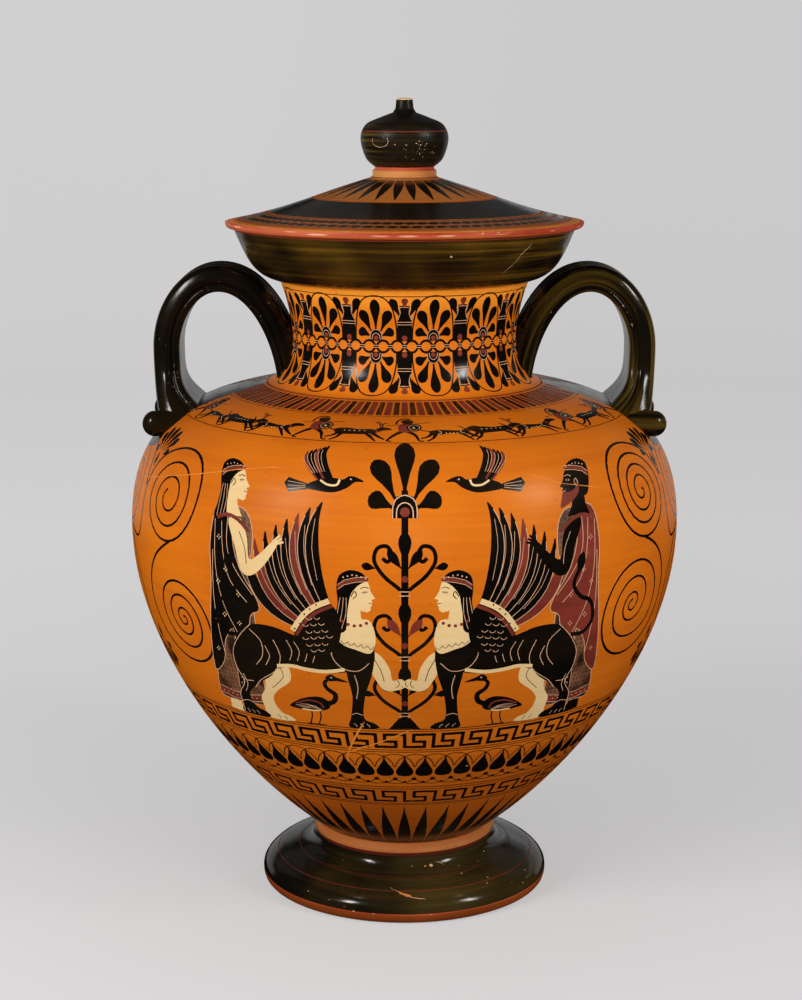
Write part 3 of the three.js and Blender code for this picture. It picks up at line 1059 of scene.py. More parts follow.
def wing(place, x, y, paints):
    # a raised, curled wing: dotted shoulder, white and red bars, long feathers by turns
    feathers = 8
    for i in range(feathers):
        t = i / (feathers - 1)
        start = (x - 13 + 17 * t, y + 8 + 15 * t)
        reach = (x - 45 + 33 * t, y + 20 + 40 * t ** 0.9)
        tip = (x - 50 + 52 * t, y + 52 + 32 * t ** 0.8)
        line = []
        for k in range(11):
            u = k / 10
            line.append(tuple((1 - u) ** 2 * start[c] + 2 * u * (1 - u) * reach[c] + u * u * tip[c]
                for c in (0, 1)))
        widths = [5.4, 6.6, 7.8, 8.6, 8.9, 8.8, 8.2, 7.0, 5.2, 3.2, 0.8]
        stroke(place, line, widths, paints[i % len(paints)])
        edge = []
        for k, (a, b) in enumerate(zip(line, line[1:])):
            length = math.dist(a, b)
            half = widths[k] / 2 - 0.3
            edge.append((a[0] - (b[1] - a[1]) / length * half, a[1] + (b[0] - a[0]) / length * half))
        stroke(place, edge, 0.5, "incised")
        if i:
            scratch(place, [line[2], line[5], line[8]], 0.35, 3)
    curve(place, [(x - 6, y - 12), (x + 8, y - 8), (x + 13, y + 4), (x + 11, y + 18), (x + 3, y + 25),
        (x - 8, y + 18), (x - 16, y + 8), (x - 15, y - 4)], "gloss", 4)
    bar = [(x - 17.5, y + 4), (x - 11, y + 14), (x - 3.5, y + 20.5), (x + 6, y + 25)]
    stroke(place, smooth(bar, 4, False), 3.6, "white")
    stroke(place, smooth([(px + 2.2, py - 2.9) for px, py in bar], 4, False), 2.2, "red")
    for px, py in bar[:-1]:
        for k in (0.2, 0.7):
            disc(place, px + 7 * k, py + 7.2 * k, 0.6, "gloss", 6)
    for row in range(6):
        for column in range(4):
            px = x - 9 + column * 5.0 + (row % 2) * 2.2
            py = y - 8 + row * 4.4 + column * 0.8
            if (px - x + 2) ** 2 / 100 + (py - y - 4) ** 2 / 190 < 0.85:
                scratch(place, arcPoints(px, py, 2.1, 200, 340, 4), 0.45, 1)


def tailAndFarLegs(place, farLegs):
    curve(place, [(-28, 46), (-12, 46), (-9, 34), (-18, 25), (-22, 17), (-17, 7), (-10, 4), (-8, 0.3),
        (-27, 0.3), (-29, 8), (-31, 17), (-27, 27)], farLegs)
    curve(place, [(34, 60), (46, 58), (53, 48), (55, 39), (60, 40), (64, 36), (59, 32), (51, 31), (46, 37),
        (41, 46), (33, 48)], farLegs)
    for points in ([(-17, 44), (-14, 36), (-22, 26)], [(-20, 4), (-18, 2), (-17.6, 1)],
            [(-15, 4), (-13.4, 2), (-13, 1)], [(58, 39), (59, 36), (57, 33.4)],
            [(61.5, 38), (61.8, 36), (60.5, 34)], [(44, 54), (48, 46), (50, 38)]):
        scratch(place, points, 0.45, 3, "thin" if farLegs == "white" else "incised")
    stroke(place, smooth([(-45, 62), (-55, 62), (-62, 70), (-60, 82), (-51, 87), (-46, 95), (-50, 104)], 5,
        False), 2.7, "gloss")
    leaf(place, -49.5, 101, 105, 14, 6.5, "gloss", 1.2)


def sphinx(place, flesh, paints):
    # standing, one forepaw raised
    tailAndFarLegs(place, flesh)
    curve(place, [(-45, 60), (-37, 70), (-20, 71), (-2, 66), (13, 67), (25, 76), (37, 80), (44, 70),
        (43, 56), (34, 46), (14, 42), (-8, 44), (-24, 40), (-38, 44), (-47, 52)], "gloss")
    curve(place, [(-46, 60), (-30, 62), (-19, 49), (-21, 37), (-33, 27), (-40, 18), (-36, 8), (-28, 4.5),
        (-26, 0.3), (-46, 0.3), (-47, 8), (-48, 17), (-43, 27), (-49, 38), (-51, 50)], "gloss")
    scratch(place, [(-36, 70.6), (-44.6, 61.5), (-50.6, 50), (-49, 38), (-43.4, 27), (-48, 17), (-47, 8),
        (-46, 1)], 0.6)
    curve(place, [(26, 62), (43, 62), (43, 45), (38.5, 27), (37.5, 9), (44, 4.5), (46, 0.3), (29, 0.3),
        (29.5, 9), (30.5, 26), (27, 44)], "gloss")
    lines = [[(-20, 62), (-15.5, 51), (-19, 40), (-30, 31), (-35, 24)], [(-37, 67), (-29, 60), (-28, 50),
        (-33, 42)], [(-26, 57), (-23, 50), (-26, 43)], [(20, 68), (18, 56), (24, 47), (34, 45), (41, 51)],
        [(32, 42), (34, 33), (33, 24)], [(-44, 33), (-41, 26), (-43, 19)],
        [(-46, 30), (-41, 28.5), (-36, 29)], [(30, 11), (33, 12.4), (37, 11)],
        [(-47, 10), (-42, 11.6), (-37, 10)]]
    for points in lines:
        scratch(place, points, 0.6)
    for shift in (0, 5, 10, 15):
        scratch(place, [(-11 + shift, 63 - shift * 0.1), (-7.5 + shift, 56), (-9 + shift, 49)], 0.5)
    for px in (-44, -40, -36, 31, 35, 39):
        scratch(place, [(px, 3.8), (px + 1.8, 2.2), (px + 2.0, 0.9)], 0.5, 2)
    stroke(place, smooth([(-18, 43.6), (-8, 45.0), (2, 43.6), (14, 43.2), (26, 45.6)], 3, False), 2.6,
        "white")
    curve(place, [(20, 72), (30, 78), (41, 80), (45, 68), (42, 58), (33, 60), (24, 64)], flesh)
    for k in range(5):
        scratch(place, [(24 + k * 4, 66 - k * 0.7), (26 + k * 4, 63.4 - k * 0.7),
            (28 + k * 4, 65.2 - k * 0.7)], 0.4, 2, "thin")
    head(place, 33, 96, flesh, 1.12)
    for px, py in ((25, 78.5), (28.5, 76.8), (32.2, 76), (36, 76.4), (39.5, 78)):
        disc(place, px, py, 1.1, "red", 7)
    wing(place, 11, 66, paints)


def waterBird(place):
    # a wading bird with its neck bent back
    for px in (-2, 4):
        stroke(place, [(px, 16), (px + 1, 8), (px - 0.5, 0.6)], 0.9, "gloss")
        stroke(place, [(px - 2.5, 0.5), (px + 4.5, 0.5)], 0.8, "gloss")
    curve(place, [(-17, 15), (-8, 22), (3, 25), (10, 22), (11, 16), (4, 12.5), (-5, 12.5), (-12, 13)],
        "gloss")
    neck = smooth([(8, 19), (14, 22), (15, 28), (10, 32), (8, 37), (12, 41)], 4, False)
    stroke(place, neck, [4.2 - 2.2 * i / len(neck) for i in range(len(neck))], "gloss")
    curve(place, [(8.5, 41), (12, 44), (16, 42), (24, 38.5), (16, 39), (11, 38.5)], "gloss", 3)
    disc(place, 12.6, 41.4, 0.7, "incised", 7)
    scratch(place, [(-13, 17), (-4, 21), (4, 20), (7, 15.5)], 1.4, 4, "red")
    for k in range(4):
        scratch(place, [(-13 + k * 2, 15.2 - k * 0.4), (-6 + k * 2.2, 17.6 - k * 0.9),
            (2 + k * 1.6, 16.4 - k * 1.0)], 0.4, 3)
    stroke(place, [(-8, 12.9), (-1, 12.6), (5, 13.2)], 1.2, "white")


def flyingBird(place):
    for i in range(6):
        t = i / 5
        line = smooth([(-5 + 7 * t, 3), (-12 + 9 * t, 12 + 3 * t), (-16 + 12 * t, 19 + 6 * t),
            (-15 + 15 * t, 26 + 6 * t)], 3, False)
        stroke(place, line, [3.4, 3.8, 4.2, 4.4, 4.4, 4.2, 3.6, 2.8, 1.7, 0.5],
            ("red", "gloss", "gloss")[i % 3])
        stroke(place, [(x - 1.7, y) for x, y in line[2:8]], 0.4, "incised")
    curve(place, [(-17, -1), (-9, 4), (2, 6.5), (9, 5.5), (13, 8), (17.5, 7.6), (23, 4.4), (17, 4), (12, 0),
        (3, -3.5), (-8, -3)], "gloss", 3)
    fill(place, [(-15, 1.5), (-28, 5), (-31, 1), (-28, -5), (-15, -2.5)], "gloss")
    for y in (-3.2, -0.6, 2.2):
        stroke(place, [(-16, y * 0.4), (-28.5, y)], 0.4, "incised")
    stroke(place, smooth([(-6, 4.4), (-1, 1.5), (5, 1.6), (7, 5.4)], 3, False), 1.5, "white")
    disc(place, 14.4, 5.9, 0.7, "incised", 7)


def onlooker(place, flesh, robe, cloak, man):
    # a standing figure in a long robe and a cloak over one shoulder
    for px in (-9, 2):
        curve(place, [(px, 12), (px + 8, 12), (px + 8, 6), (px + 15, 2.6), (px + 17, 0.3), (px + 1, 0.3),
            (px - 1.5, 3.5)], flesh, 3)
    body = [(-13, 128), (-5, 134), (7, 134), (12.5, 126), (13, 113), (10.5, 99), (12.5, 82), (15, 60),
        (16.5, 38), (18.5, 12), (8, 9), (-6, 9), (-18, 12), (-17.5, 38), (-15.5, 62), (-14, 84),
        (-12.5, 100), (-15, 114)]
    curve(place, body, robe, 4)
    stroke(place, smooth(body, 4), 0.55, "incised", True)
    stroke(place, [(-18.0, 15.0), (-6, 12.4), (8, 12.4), (18.2, 15.0)], 4.6, "red")
    for y in (12.4, 17.8):
        stroke(place, [(-18.0, y + 0.2), (-6, y - 2.2), (8, y - 2.2), (18.2, y + 0.2)], 0.5, "incised")
    for i in range(9):
        disc(place, -15 + i * 3.8, 12.7 + abs(i - 4) * 0.35, 0.55, "incised", 6)
    stroke(place, [(1.5, 20), (1.0, 60), (0.0, 96)], 3.6, "gloss")
    for shift in (-1.9, 1.9):
        stroke(place, [(1.5 + shift, 20), (1.0 + shift, 60), (shift, 96)], 0.4, "incised")
    for i in range(11):
        disc(place, 1.5 - i * 0.12, 24 + i * 6.6, 0.6, "incised", 6)
    cloakShape = [(-14, 131), (-6, 136), (3, 134), (-1, 118), (4, 100), (15, 84), (17, 76), (11, 72),
        (9, 56), (1, 48), (-2, 62), (-9, 52), (-11, 38), (-20, 30), (-20, 60), (-17.5, 90), (-18, 112)]
    curve(place, cloakShape, cloak, 3)
    stroke(place, smooth(cloakShape, 3), 0.5, "incised", True)
    for points in ([(-9, 130), (-8, 108), (-3, 92), (9, 80)], [(-14, 126), (-14, 100), (-9, 78), (1, 60)],
            [(-16, 108), (-16, 80), (-13, 58), (-10, 44)], [(-4, 132), (-5, 112), (1, 99), (13, 85)]):
        scratch(place, points)
    for px, py in ((-11, 116), (-6, 98), (-12, 90), (3, 84), (-8, 70), (-14, 66), (3, 66), (-15, 46)):
        for turn in range(4):
            disc(place, px + 1.1 * math.cos(turn * math.pi / 2), py + 1.1 * math.sin(turn * math.pi / 2),
                0.5, "white" if cloak == "gloss" else "incised", 5)
    head(place, -0.5, 149, flesh, 1.06, man)


def onlookerArm(place, flesh):
    arm = [(-4, 127), (5, 128), (9.5, 118), (11, 106), (19, 110.5), (27, 118), (30, 116.5), (21, 103.5),
        (12, 96.5), (5, 99), (1, 112)]
    curve(place, arm, flesh, 4)
    for shift in (0.0, 1.7, 3.4):
        stroke(place, [(27.0 + shift * 0.3, 117.6 - shift * 0.4),
            (31.5 + shift * 0.6, 121.5 - shift * 1.1)], 1.3, flesh)
    scratch(place, [(4, 121), (8, 112), (9, 103)], 0.45, 3, "gloss" if flesh == "white" else "incised")
    stroke(place, smooth([(-12.5, 127), (-5, 129.5), (3, 127.5), (10, 122)], 3, False), 2.2, "red")


def palmTree(place, chartAt):
    # upright stem with scrolls, crowned by a palmette
    fill(place, [(-9, 0), (9, 0), (3.2, 9), (-3.2, 9)], "gloss")
    stroke(place, [(0, 8), (0, 150)], 3.6, "gloss")
    for y in (18, 58, 98):
        for side in (1, -1):
            volute = [(0.5 * side, y - 6), (5 * side, y - 2), (12 * side, y + 4), (17 * side, y + 12),
                (15.5 * side, y + 19), (10 * side, y + 20.5), (7.2 * side, y + 15.5),
                (9.6 * side, y + 11.8), (12.4 * side, y + 13.8)]
            stroke(place, smooth(volute, 4, False), 2.2, "gloss")
            leaf(place, 2.0 * side, y + 8, 90 - 36 * side, 13, 5.2, "red" if y == 58 else "gloss", 1.5)
            leaf(place, 16.5 * side, y + 8, 90 - 78 * side, 8, 4.4, "gloss", 1.5)
        for shift in (-7.6, -5.2):
            stroke(place, [(-3.2, y + shift), (3.2, y + shift)], 0.6, "incised")
        leaf(place, 0, y + 10, 90, 19, 7.4, "gloss", 1.7)
        disc(place, 0, y + 2, 2.0, "red", 9)
    palmette(chartAt(0, 128, 1.7), 1)


def hound(place):
    curve(place, [(-16, 12), (-8, 14), (4, 12.5), (10, 14), (15, 17.5), (20, 17), (23, 14.5), (17, 13.2),
        (14, 11), (8, 8.2), (0, 9), (-8, 8), (-13, 8.6)], "gloss", 3)
    for line in ([(9, 11), (16, 5), (20, 2.5)], [(6, 10), (11, 4), (14, 0.4)],
            [(-13, 11), (-17, 6), (-23, 3.5)], [(-11, 10), (-14, 4), (-19, 0.4)]):
        stroke(place, smooth(line, 3, False), [3.6, 3.0, 2.4, 1.9, 1.5, 1.3, 1.2], "gloss")
    stroke(place, smooth([(-15, 12), (-21, 14), (-25, 19)], 3, False), 1.1, "gloss")
    scratch(place, [(8, 13), (6, 10.5), (9, 8.6)], 0.6, 2)
    scratch(place, [(-9, 13), (-7, 10), (-10, 8.4)], 0.6, 2)
    stroke(place, [(11.4, 14.6), (13.4, 11.4)], 1.3, "red")
    for k in range(4):
        disc(place, -4 + k * 2.6, 9.4, 0.55, "white", 5)


def stag(place):
    hound(place)
    for side in (0, 1):
        stroke(place, smooth([(15 + side, 17), (13 + side * 2, 22), (9 + side * 2, 26)], 3, False), 0.8,
            "gloss")
        stroke(place, [(13 + side * 2, 21), (17 + side, 24)], 0.7, "gloss")
    curve(place, [(-18, 13), (-10, 16), (0, 14.5), (10, 15), (8, 9), (-4, 8), (-14, 8)], "gloss", 3)
    for k in range(5):
        disc(place, -10 + k * 3.6, 12.6, 0.6, "white", 5)


def warrior(place):
    for line in ([(1, 13), (7, 8), (10, 0.6)], [(-1, 13), (-7, 8), (-13, 1)]):
        stroke(place, smooth(line, 3, False), [3.8, 3.4, 2.9, 2.4, 2.1, 1.6, 1.2], "gloss")
    stroke(place, [(10, 0.7), (13.5, 0.5)], 1.2, "gloss")
    stroke(place, [(-13, 1), (-9.5, 0.5)], 1.2, "gloss")
    curve(place, [(-3.5, 12), (4, 12), (6, 21), (2, 23.5), (-4, 21)], "red", 3)
    curve(place, [(-1, 23), (4.5, 23), (6, 27), (2, 29.5), (-2.5, 27.5)], "gloss", 3)
    stroke(place, smooth([(4, 30), (-1, 31), (-5, 27), (-6, 22)], 3, False), 1.5, "gloss")
    disc(place, 6.5, 17.5, 5.4, "gloss", 14)
    disc(place, 6.5, 17.5, 4.1, "incised", 12)
    disc(place, 6.5, 17.5, 3.6, "gloss", 12)
    disc(place, 6.5, 17.5, 1.3, "white", 7)
    stroke(place, [(-13, 20), (18, 25)], 0.6, "gloss")


def sideScene(chartAt, flesh):
    waterBird(chartAt(-60, 0, 1.0))
    onlooker(chartAt(-116, 0, 1.12), flesh[0], "weave", "gloss", flesh[0] == "gloss")
    onlooker(chartAt(116, 0, 1.12, -1), flesh[1], "weave", "red", flesh[1] == "gloss")
    for side, paints in ((-1, ("gloss", "red", "gloss", "gloss")), (1, ("red", "gloss", "gloss", "gloss"))):
        sphinx(chartAt(side * 66, 0, 1.06, -side), "white", paints)
    onlookerArm(chartAt(-116, 0, 1.12), flesh[0])
    onlookerArm(chartAt(116, 0, 1.12, -1), flesh[1])


def picture(chartAt, flesh):
    palmTree(chartAt(0, 0, 1.12), lambda x, y, size: chartAt(x * 1.12, y * 1.12, size * 1.12))
    waterBird(chartAt(62, 0, 1.0, -1))
    for side in (1, -1):
        flyingBird(chartAt(side * 48, 169, 0.98, -side))
    sideScene(chartAt, flesh)


def pictureChart(sheet, degrees, height):
    # a picture's own axes, from which each figure takes its place, size and side
    v = onJar(height)

    def chartAt(x, y, size=1.0, flip=1):
        return chart(sheet, degrees, v, flip, x, y, size)
    return chartAt


def frieze(sheet, height, count):
    order = (warrior, hound, stag, hound, warrior, stag)
    for unit in range(count):
        flip = -1 if order[unit % 6] is warrior and unit % 12 > 5 else 1
        chartAt = pictureChart(sheet, unit * 360 / count, height)
        order[unit % 6](chartAt(0, 0, 0.92, flip))


def shoulderPatch(sheet, side):
    # the shoulder is painted black between the neck and the lower root of each handle
    right = []
    left = []
    for height, half in ((363.2, 8), (359, 19), (355, 29), (350, 33), (342, 36), (334, 42), (328, 47),
            (324, 43), (320, 12)):
        v = onJar(height)
        r = spotOn(sheet, v)[0]
        right.append((side * math.pi / 2 + half / r, v))
        left.append((side * math.pi / 2 - half / r, v))
    addShape(sheet, right + left[::-1], "handleGloss")


def crack(sheet, spots, width, paint):
    # a crack or scrape through spots given in degrees and height, with ragged sides and thin ends
    v = onJar(spots[0][1])
    line = []
    for (turnA, heightA), (turnB, heightB) in zip(spots, spots[1:]):
        for step in range(4):
            t = step / 4
            arc = onJar(heightA + (heightB - heightA) * t)
            turn = math.radians(turnA + (turnB - turnA) * t - spots[0][0])
            line.append((turn * spotOn(sheet, arc)[0] + random.uniform(-0.4, 0.4),
                arc - v + random.uniform(-0.4, 0.4)))
    widths = [width * random.uniform(0.6, 1.3) for _ in line]
    widths[0] = widths[-1] = width * 0.3
    stroke(chart(sheet, spots[0][0], v), line, widths, paint)


def chipMark(sheet, degrees, height, size, paint):
    place = chart(sheet, degrees, onJar(height))
    sides = 9
    reaches = [size * random.uniform(0.6, 1.25) for _ in range(sides)]
    fill(place, [(reach * 1.3 * math.cos(math.tau * i / sides), reach * math.sin(math.tau * i / sides))
        for i, reach in enumerate(reaches)], paint)


# cracks: spots in degrees and height, width, paint; chips: degrees, height, size, paint

wear = {
    "cracks": (
        (((46.1, 465.1), (42.9, 458.6), (40.9, 453.0), (35.8, 442.7)), 0.42, "incised"),
        (((-69.8, 306.3), (-47.6, 319.2), (-34.5, 327.3), (-24.0, 331.0)), 0.7, "mendedClay"),
        (((-14.4, 138.1), (-5.9, 148.3), (4.5, 162.6)), 1.3, "mendedClay"),
        (((-9.2, 164.2), (-14.4, 138.1), (-15.3, 127.4)), 1.2, "mendedClay"),
        (((-6.4, 22.0), (-2.0, 19.9), (5.0, 17.4), (9.5, 16.4)), 0.5, "incised"),
        (((-2.6, 20.2), (1.0, 18.8), (3.6, 18.4)), 1.8, "ringClay"),
        (((20.0, 31.0), (26.0, 27.0)), 0.5, "incised"),
        (((26.0, 327.0), (34.0, 318.0), (47.0, 311.0)), 0.5, "mendedClay"),
    ),
    "chips": (
        (15.3, 458.6, 0.8, "incised"), (16.3, 28.8, 1.1, "incised"), (12.6, 28.7, 0.6, "ringClay"),
        (4.6, 29.1, 0.5, "ringClay"), (62.6, 17.8, 0.5, "incised"), (30.5, 24.4, 0.7, "incised"),
        (58.0, 28.6, 0.7, "incised"), (40.5, 21.6, 0.6, "ringClay"), (38.0, 19.6, 0.5, "incised"),
        (56.0, 13.0, 0.5, "incised"), (60.0, 14.6, 0.4, "incised"), (50.0, 16.0, 0.4, "incised"),
        (-31.0, 12.6, 0.4, "incised"), (-20.0, 8.0, 0.6, "incised"), (-12.0, 7.6, 0.5, "incised"),
        (10.0, 7.4, 0.6, "incised"), (17.0, 125.5, 0.7, "white"), (-42.0, 14.0, 0.4, "incised"),
        (47.0, 26.0, 0.5, "incised"), (33.0, 26.5, 0.4, "incised"), (-24.0, 10.0, 0.4, "ringClay"),
    ),
}


def paintWear(sheet):
    for spots, width, paint in wear["cracks"]:
        crack(sheet, spots, width, paint)
    for values in wear["chips"]:
        chipMark(sheet, *values)


def onJar(height):
    return arcAt(jarSheet, height, outsideStart)


jarSheet = newSheet(jarOutline(), jar["sheetRadius"], jar["roundSteps"], seamDegrees)
outsideStart = next(arc for arc, point in zip(jarSheet["arcs"], jarSheet["outline"]) if point[0] > 96.5)
rimArc = onJar(jar["rimHeight"] - 1.2)


def paintJar():
    sheet = jarSheet
    addBand(sheet, outsideStart + 1.0, onJar(7.4), "footRed")
    jarBand(7.4, 35.3, "footGloss")
    for height, width, paint in ((7.6, 0.7, "rimRed"), (20.7, 0.7, "red"), (24.9, 0.6, "red"),
            (36.6, 3.2, "red")):
        turnLine(height, width, paint)
    jarBand(38.2, 44.8, "ringClay")
    turnLine(44.6, 0.5, "clay")
    rays(sheet, onJar(45.2), onJar(88.6), 46, [(0, 4.3), (0.2, 4.6), (0.45, 3.9), (0.68, 2.4), (0.85, 0.95),
        (1, 0.14)], "gloss")
    for height in (90.7, 92.2, 106.4, 108.4, 140.0, 141.8, 157.2, 158.9):
        turnLine(height, 0.65, "thin")
    runningKey(sheet, onJar(94.6), onJar(103.8), 37, 2.15, "gloss")
    budChain(sheet, onJar(118.0), 68)
    runningKey(sheet, onJar(144.4), onJar(154.6), 52, 2.35, "gloss")
    for height in (345.2, 357.1):
        turnLine(height, 0.6, "thin")
    tongues(sheet, onJar(357.5), onJar(362.6), 66)
    turnLine(363.3, 1.4, "red")
    # the neck's clay, with painted light towards the top
    jarBand(364.2, 434.8, "paleClay")
    neckChain(sheet, 13)
    turnLine(430.4, 0.55, "thin")
    jarBand(435.6, 468.8, "streaked")
    addBand(sheet, onJar(468.8), rimArc + 3.0, "red")
    addBand(sheet, rimArc + 11.0, rimArc + 48.0, "streaked")
    addBand(sheet, rimArc + 48.0, jarSheet["arcs"][-1], "inside")
    for side in (1, -1):
        for front in (1, -1):
            handleOrnament(sheet, side, front, scrolls["marks"][side * front > 0])
    frieze(sheet, 345.8, 30)
    for degrees, flesh in ((0, ("white", "gloss")), (180, ("gloss", "white"))):
        picture(pictureChart(sheet, degrees, 159.2), flesh)
    for side in (1, -1):
        shoulderPatch(sheet, side)
    paintWear(sheet)


def bakeJar(across, v):
    # outside in the lower part of the picture, hollow foot and inside above it
    turnIn = rimArc + 8
    if v <= outsideStart:
        return across, 0.90 + 0.045 * v / outsideStart
    if v <= turnIn:
        return across, 0.004 + 0.62 * (v - outsideStart) / (turnIn - outsideStart)
    return across, 0.63 + 0.12 * (v - rimArc - 8) / (jarSheet["arcs"][-1] - rimArc - 8)


# Strap handles: three reeds along the outside, spread at the lower root, with two rivet heads

handle = {
    "width": 46.0,
    "thickness": 18.6,
    "reeds": 3,
    "reedRadius": 8.3,
    # the two strips of the section that carry worn chips and a painted highlight
    "edgeWearAndHighlightStrips": (29, 48),
    "topZ": 436.0,
    "topX": 128.0,
    "outerX": 164.3,
    "flareFrom": 378.0,
    "flareTo": 335.0,
    "widening": 0.82,
    "inwardFlare": 20.0,
    "rivetRadius": 9.0,
    "rivetLength": 16.0,
    "rivetTip": (179.7, 37.0, 338.5),
    "rivetSplay": math.radians(14),
    "ringPitch": 3.4,
    "stripPitch": 2.0,
    "bakeShelves": {1: 0.76, -1: 0.83},
    "bakeHeight": 0.065,
    "bakeLength": 0.9,
}


def strapSection():
    half = handle["thickness"] / 2
    pitch = (handle["width"] - 17) / (handle["reeds"] - 1)
    reach = handle["reedRadius"]
    outline = []
    for reed in range(handle["reeds"]):
        middle = (reed - (handle["reeds"] - 1) / 2) * pitch
        for degrees in (-57, -38, -19, 0, 19, 38, 57):
            angle = math.radians(degrees)
            outline.append((middle + math.sin(angle) * reach, -half + reach * (1 - math.cos(angle))))
    side = handle["width"] / 2
    edge = smooth([(side, -1.4), (side - 0.4, 1.6), (side - 2.8, 3.5), (side - 1.1, 5.6), (side - 2.6, 8.4),
        (side - 6, half)], 3, False)
    outline += edge
    outline += [(x, half) for x in (11, 5, 0, -5, -11)]
    outline += mirrorAcross(edge)
    return outline


def strapMesh(side):
    top, outer = handle["topZ"], handle["outerX"]
    path = join(bezier((78.5, 362), (79.5, 392), (98, top), (handle["topX"], top), 26),
        bezier((handle["topX"], top), (149, top), (outer, 412), (outer, 388), 22), bezier((outer, 388),
        (outer, 366), (162, 350), (157, 329), 26))
    section = strapSection()
    count = len(section)
    bm = bmesh.new()
    unrolled = bm.loops.layers.uv.new("unrolled")
    baked = bm.loops.layers.uv.new("OFBake")
    rings = []
    for i, (x, z) in enumerate(path):
        before, after = path[max(i - 1, 0)], path[min(i + 1, len(path) - 1)]
        length = math.dist(before, after)
        alongX, alongZ = (after[0] - before[0]) / length, (after[1] - before[1]) / length
        ring = []
        for across, depth in section:
            px, pz = x + alongZ * depth, z - alongX * depth
            py = across
            if px > handle["topX"]:
                t = min(max((handle["flareFrom"] - pz) / (handle["flareFrom"] - handle["flareTo"]), 0), 1)
                spread = t * t * (3 - 2 * t)
                inner = min(max((outer - px) / (handle["thickness"] / 2), 0), 1)
                px -= handle["inwardFlare"] * inner * spread ** 2
                py *= 1 + handle["widening"] * spread
            ring.append(bm.verts.new((side * px * mm, side * py * mm, pz * mm)))
        rings.append(ring)
    slot = paintList.index(materials["handleGloss"])
    # worn chips and a painted highlight along the edge strips
    worn = paintList.index(materials["edgeWearAndHighlight"])
    shelf = handle["bakeShelves"][side]
    for i in range(len(rings) - 1):
        for k in range(count):
            after = (k + 1) % count
            face = bm.faces.new((rings[i][k], rings[i][after], rings[i + 1][after], rings[i + 1][k]))
            for loop, (a, b) in zip(face.loops, ((i, k), (i, k + 1), (i + 1, k + 1), (i + 1, k))):
                loop[baked].uv = (handle["bakeLength"] * a / len(rings),
                    shelf + handle["bakeHeight"] * b / count)
                loop[unrolled].uv = (a * handle["ringPitch"] * mm, b * handle["stripPitch"] * mm)
            face.material_index = worn if k in handle["edgeWearAndHighlightStrips"] else slot
    for face in (bm.faces.new(rings[0][::-1]), bm.faces.new(rings[-1])):
        face.material_index = slot
    for face in bm.faces:
        face.smooth = True
    bmesh.ops.recalc_face_normals(bm, faces=bm.faces)
    return bm


def rivetTree(inputs):
    # four round-ended stubs, two at the lower root of each handle, spread like rivet heads
    tree = bpy.data.node_groups.new("rivetStubs", "GeometryNodeTree")
    for label, (kind, value) in inputs.items():
        socket = tree.interface.new_socket(label, in_out="INPUT", socket_type=kind)
        if kind != "NodeSocketMaterial":
            socket.default_value = value
    tree.interface.new_socket("Geometry", in_out="OUTPUT", socket_type="NodeSocketGeometry")
    sizes = tree.nodes.new("NodeGroupInput").outputs
    ball = addNode(tree, "GeometryNodeMeshUVSphere", {"Segments": 24, "Rings": 14,
        "Radius": sizes["Radius"]})
    lying = addNode(tree, "GeometryNodeTransform", {"Geometry": ball.outputs[0],
        "Rotation": (0, math.pi / 2, 0)})
    spot = addNode(tree, "ShaderNodeSeparateXYZ",
        {"Vector": tree.nodes.new("GeometryNodeInputPosition").outputs[0]})
    behind = addNode(tree, "FunctionNodeCompare", {"A": spot.outputs[0], "B": 0.0}, operation="LESS_THAN")
    back = times(tree, sizes["Length"], -1.0)
    pull = addNode(tree, "ShaderNodeCombineXYZ", {"X": back})
    stub = addNode(tree, "GeometryNodeSetPosition", {"Geometry": lying.outputs[0],
        "Selection": behind.outputs[0], "Offset": pull.outputs[0]})
    tip = minus(tree, sizes["Reach"], sizes["Radius"])
    first = addNode(tree, "ShaderNodeCombineXYZ", {"X": tip, "Y": sizes["Side"], "Z": sizes["Height"]})
    step = addNode(tree, "ShaderNodeCombineXYZ", {"Y": times(tree, sizes["Side"], -2.0)})
    pair = addNode(tree, "GeometryNodeMeshLine", {"Count": 2, "Start Location": first.outputs[0],
        "Offset": step.outputs[0]})
    index = tree.nodes.new("GeometryNodeInputIndex").outputs[0]
    mirrored = minus(tree, 1.0, times(tree, index, 2.0))
    splay = addNode(tree, "ShaderNodeCombineXYZ", {"Z": times(tree, sizes["Splay"], mirrored)})
    stubs = addNode(tree, "GeometryNodeInstanceOnPoints", {"Points": pair.outputs[0],
        "Instance": stub.outputs[0], "Rotation": splay.outputs[0]})
    roots = addNode(tree, "GeometryNodeMeshLine", {"Count": 2, "Offset": (0, 0, 0)})
    halfTurn = addNode(tree, "ShaderNodeCombineXYZ", {"Z": times(tree, index, math.pi)})
    both = addNode(tree, "GeometryNodeInstanceOnPoints", {"Points": roots.outputs[0],
        "Instance": stubs.outputs[0], "Rotation": halfTurn.outputs[0]})
    real = addNode(tree, "GeometryNodeRealizeInstances", {"Geometry": both.outputs[0]})
    shaded = addNode(tree, "GeometryNodeSetShadeSmooth", {"Geometry": real.outputs[0]})
    painted = addNode(tree, "GeometryNodeSetMaterial", {"Geometry": shaded.outputs[0],
        "Material": sizes["Material"]})
    tree.links.new(painted.outputs[0], tree.nodes.new("NodeGroupOutput").inputs[0])
    return tree


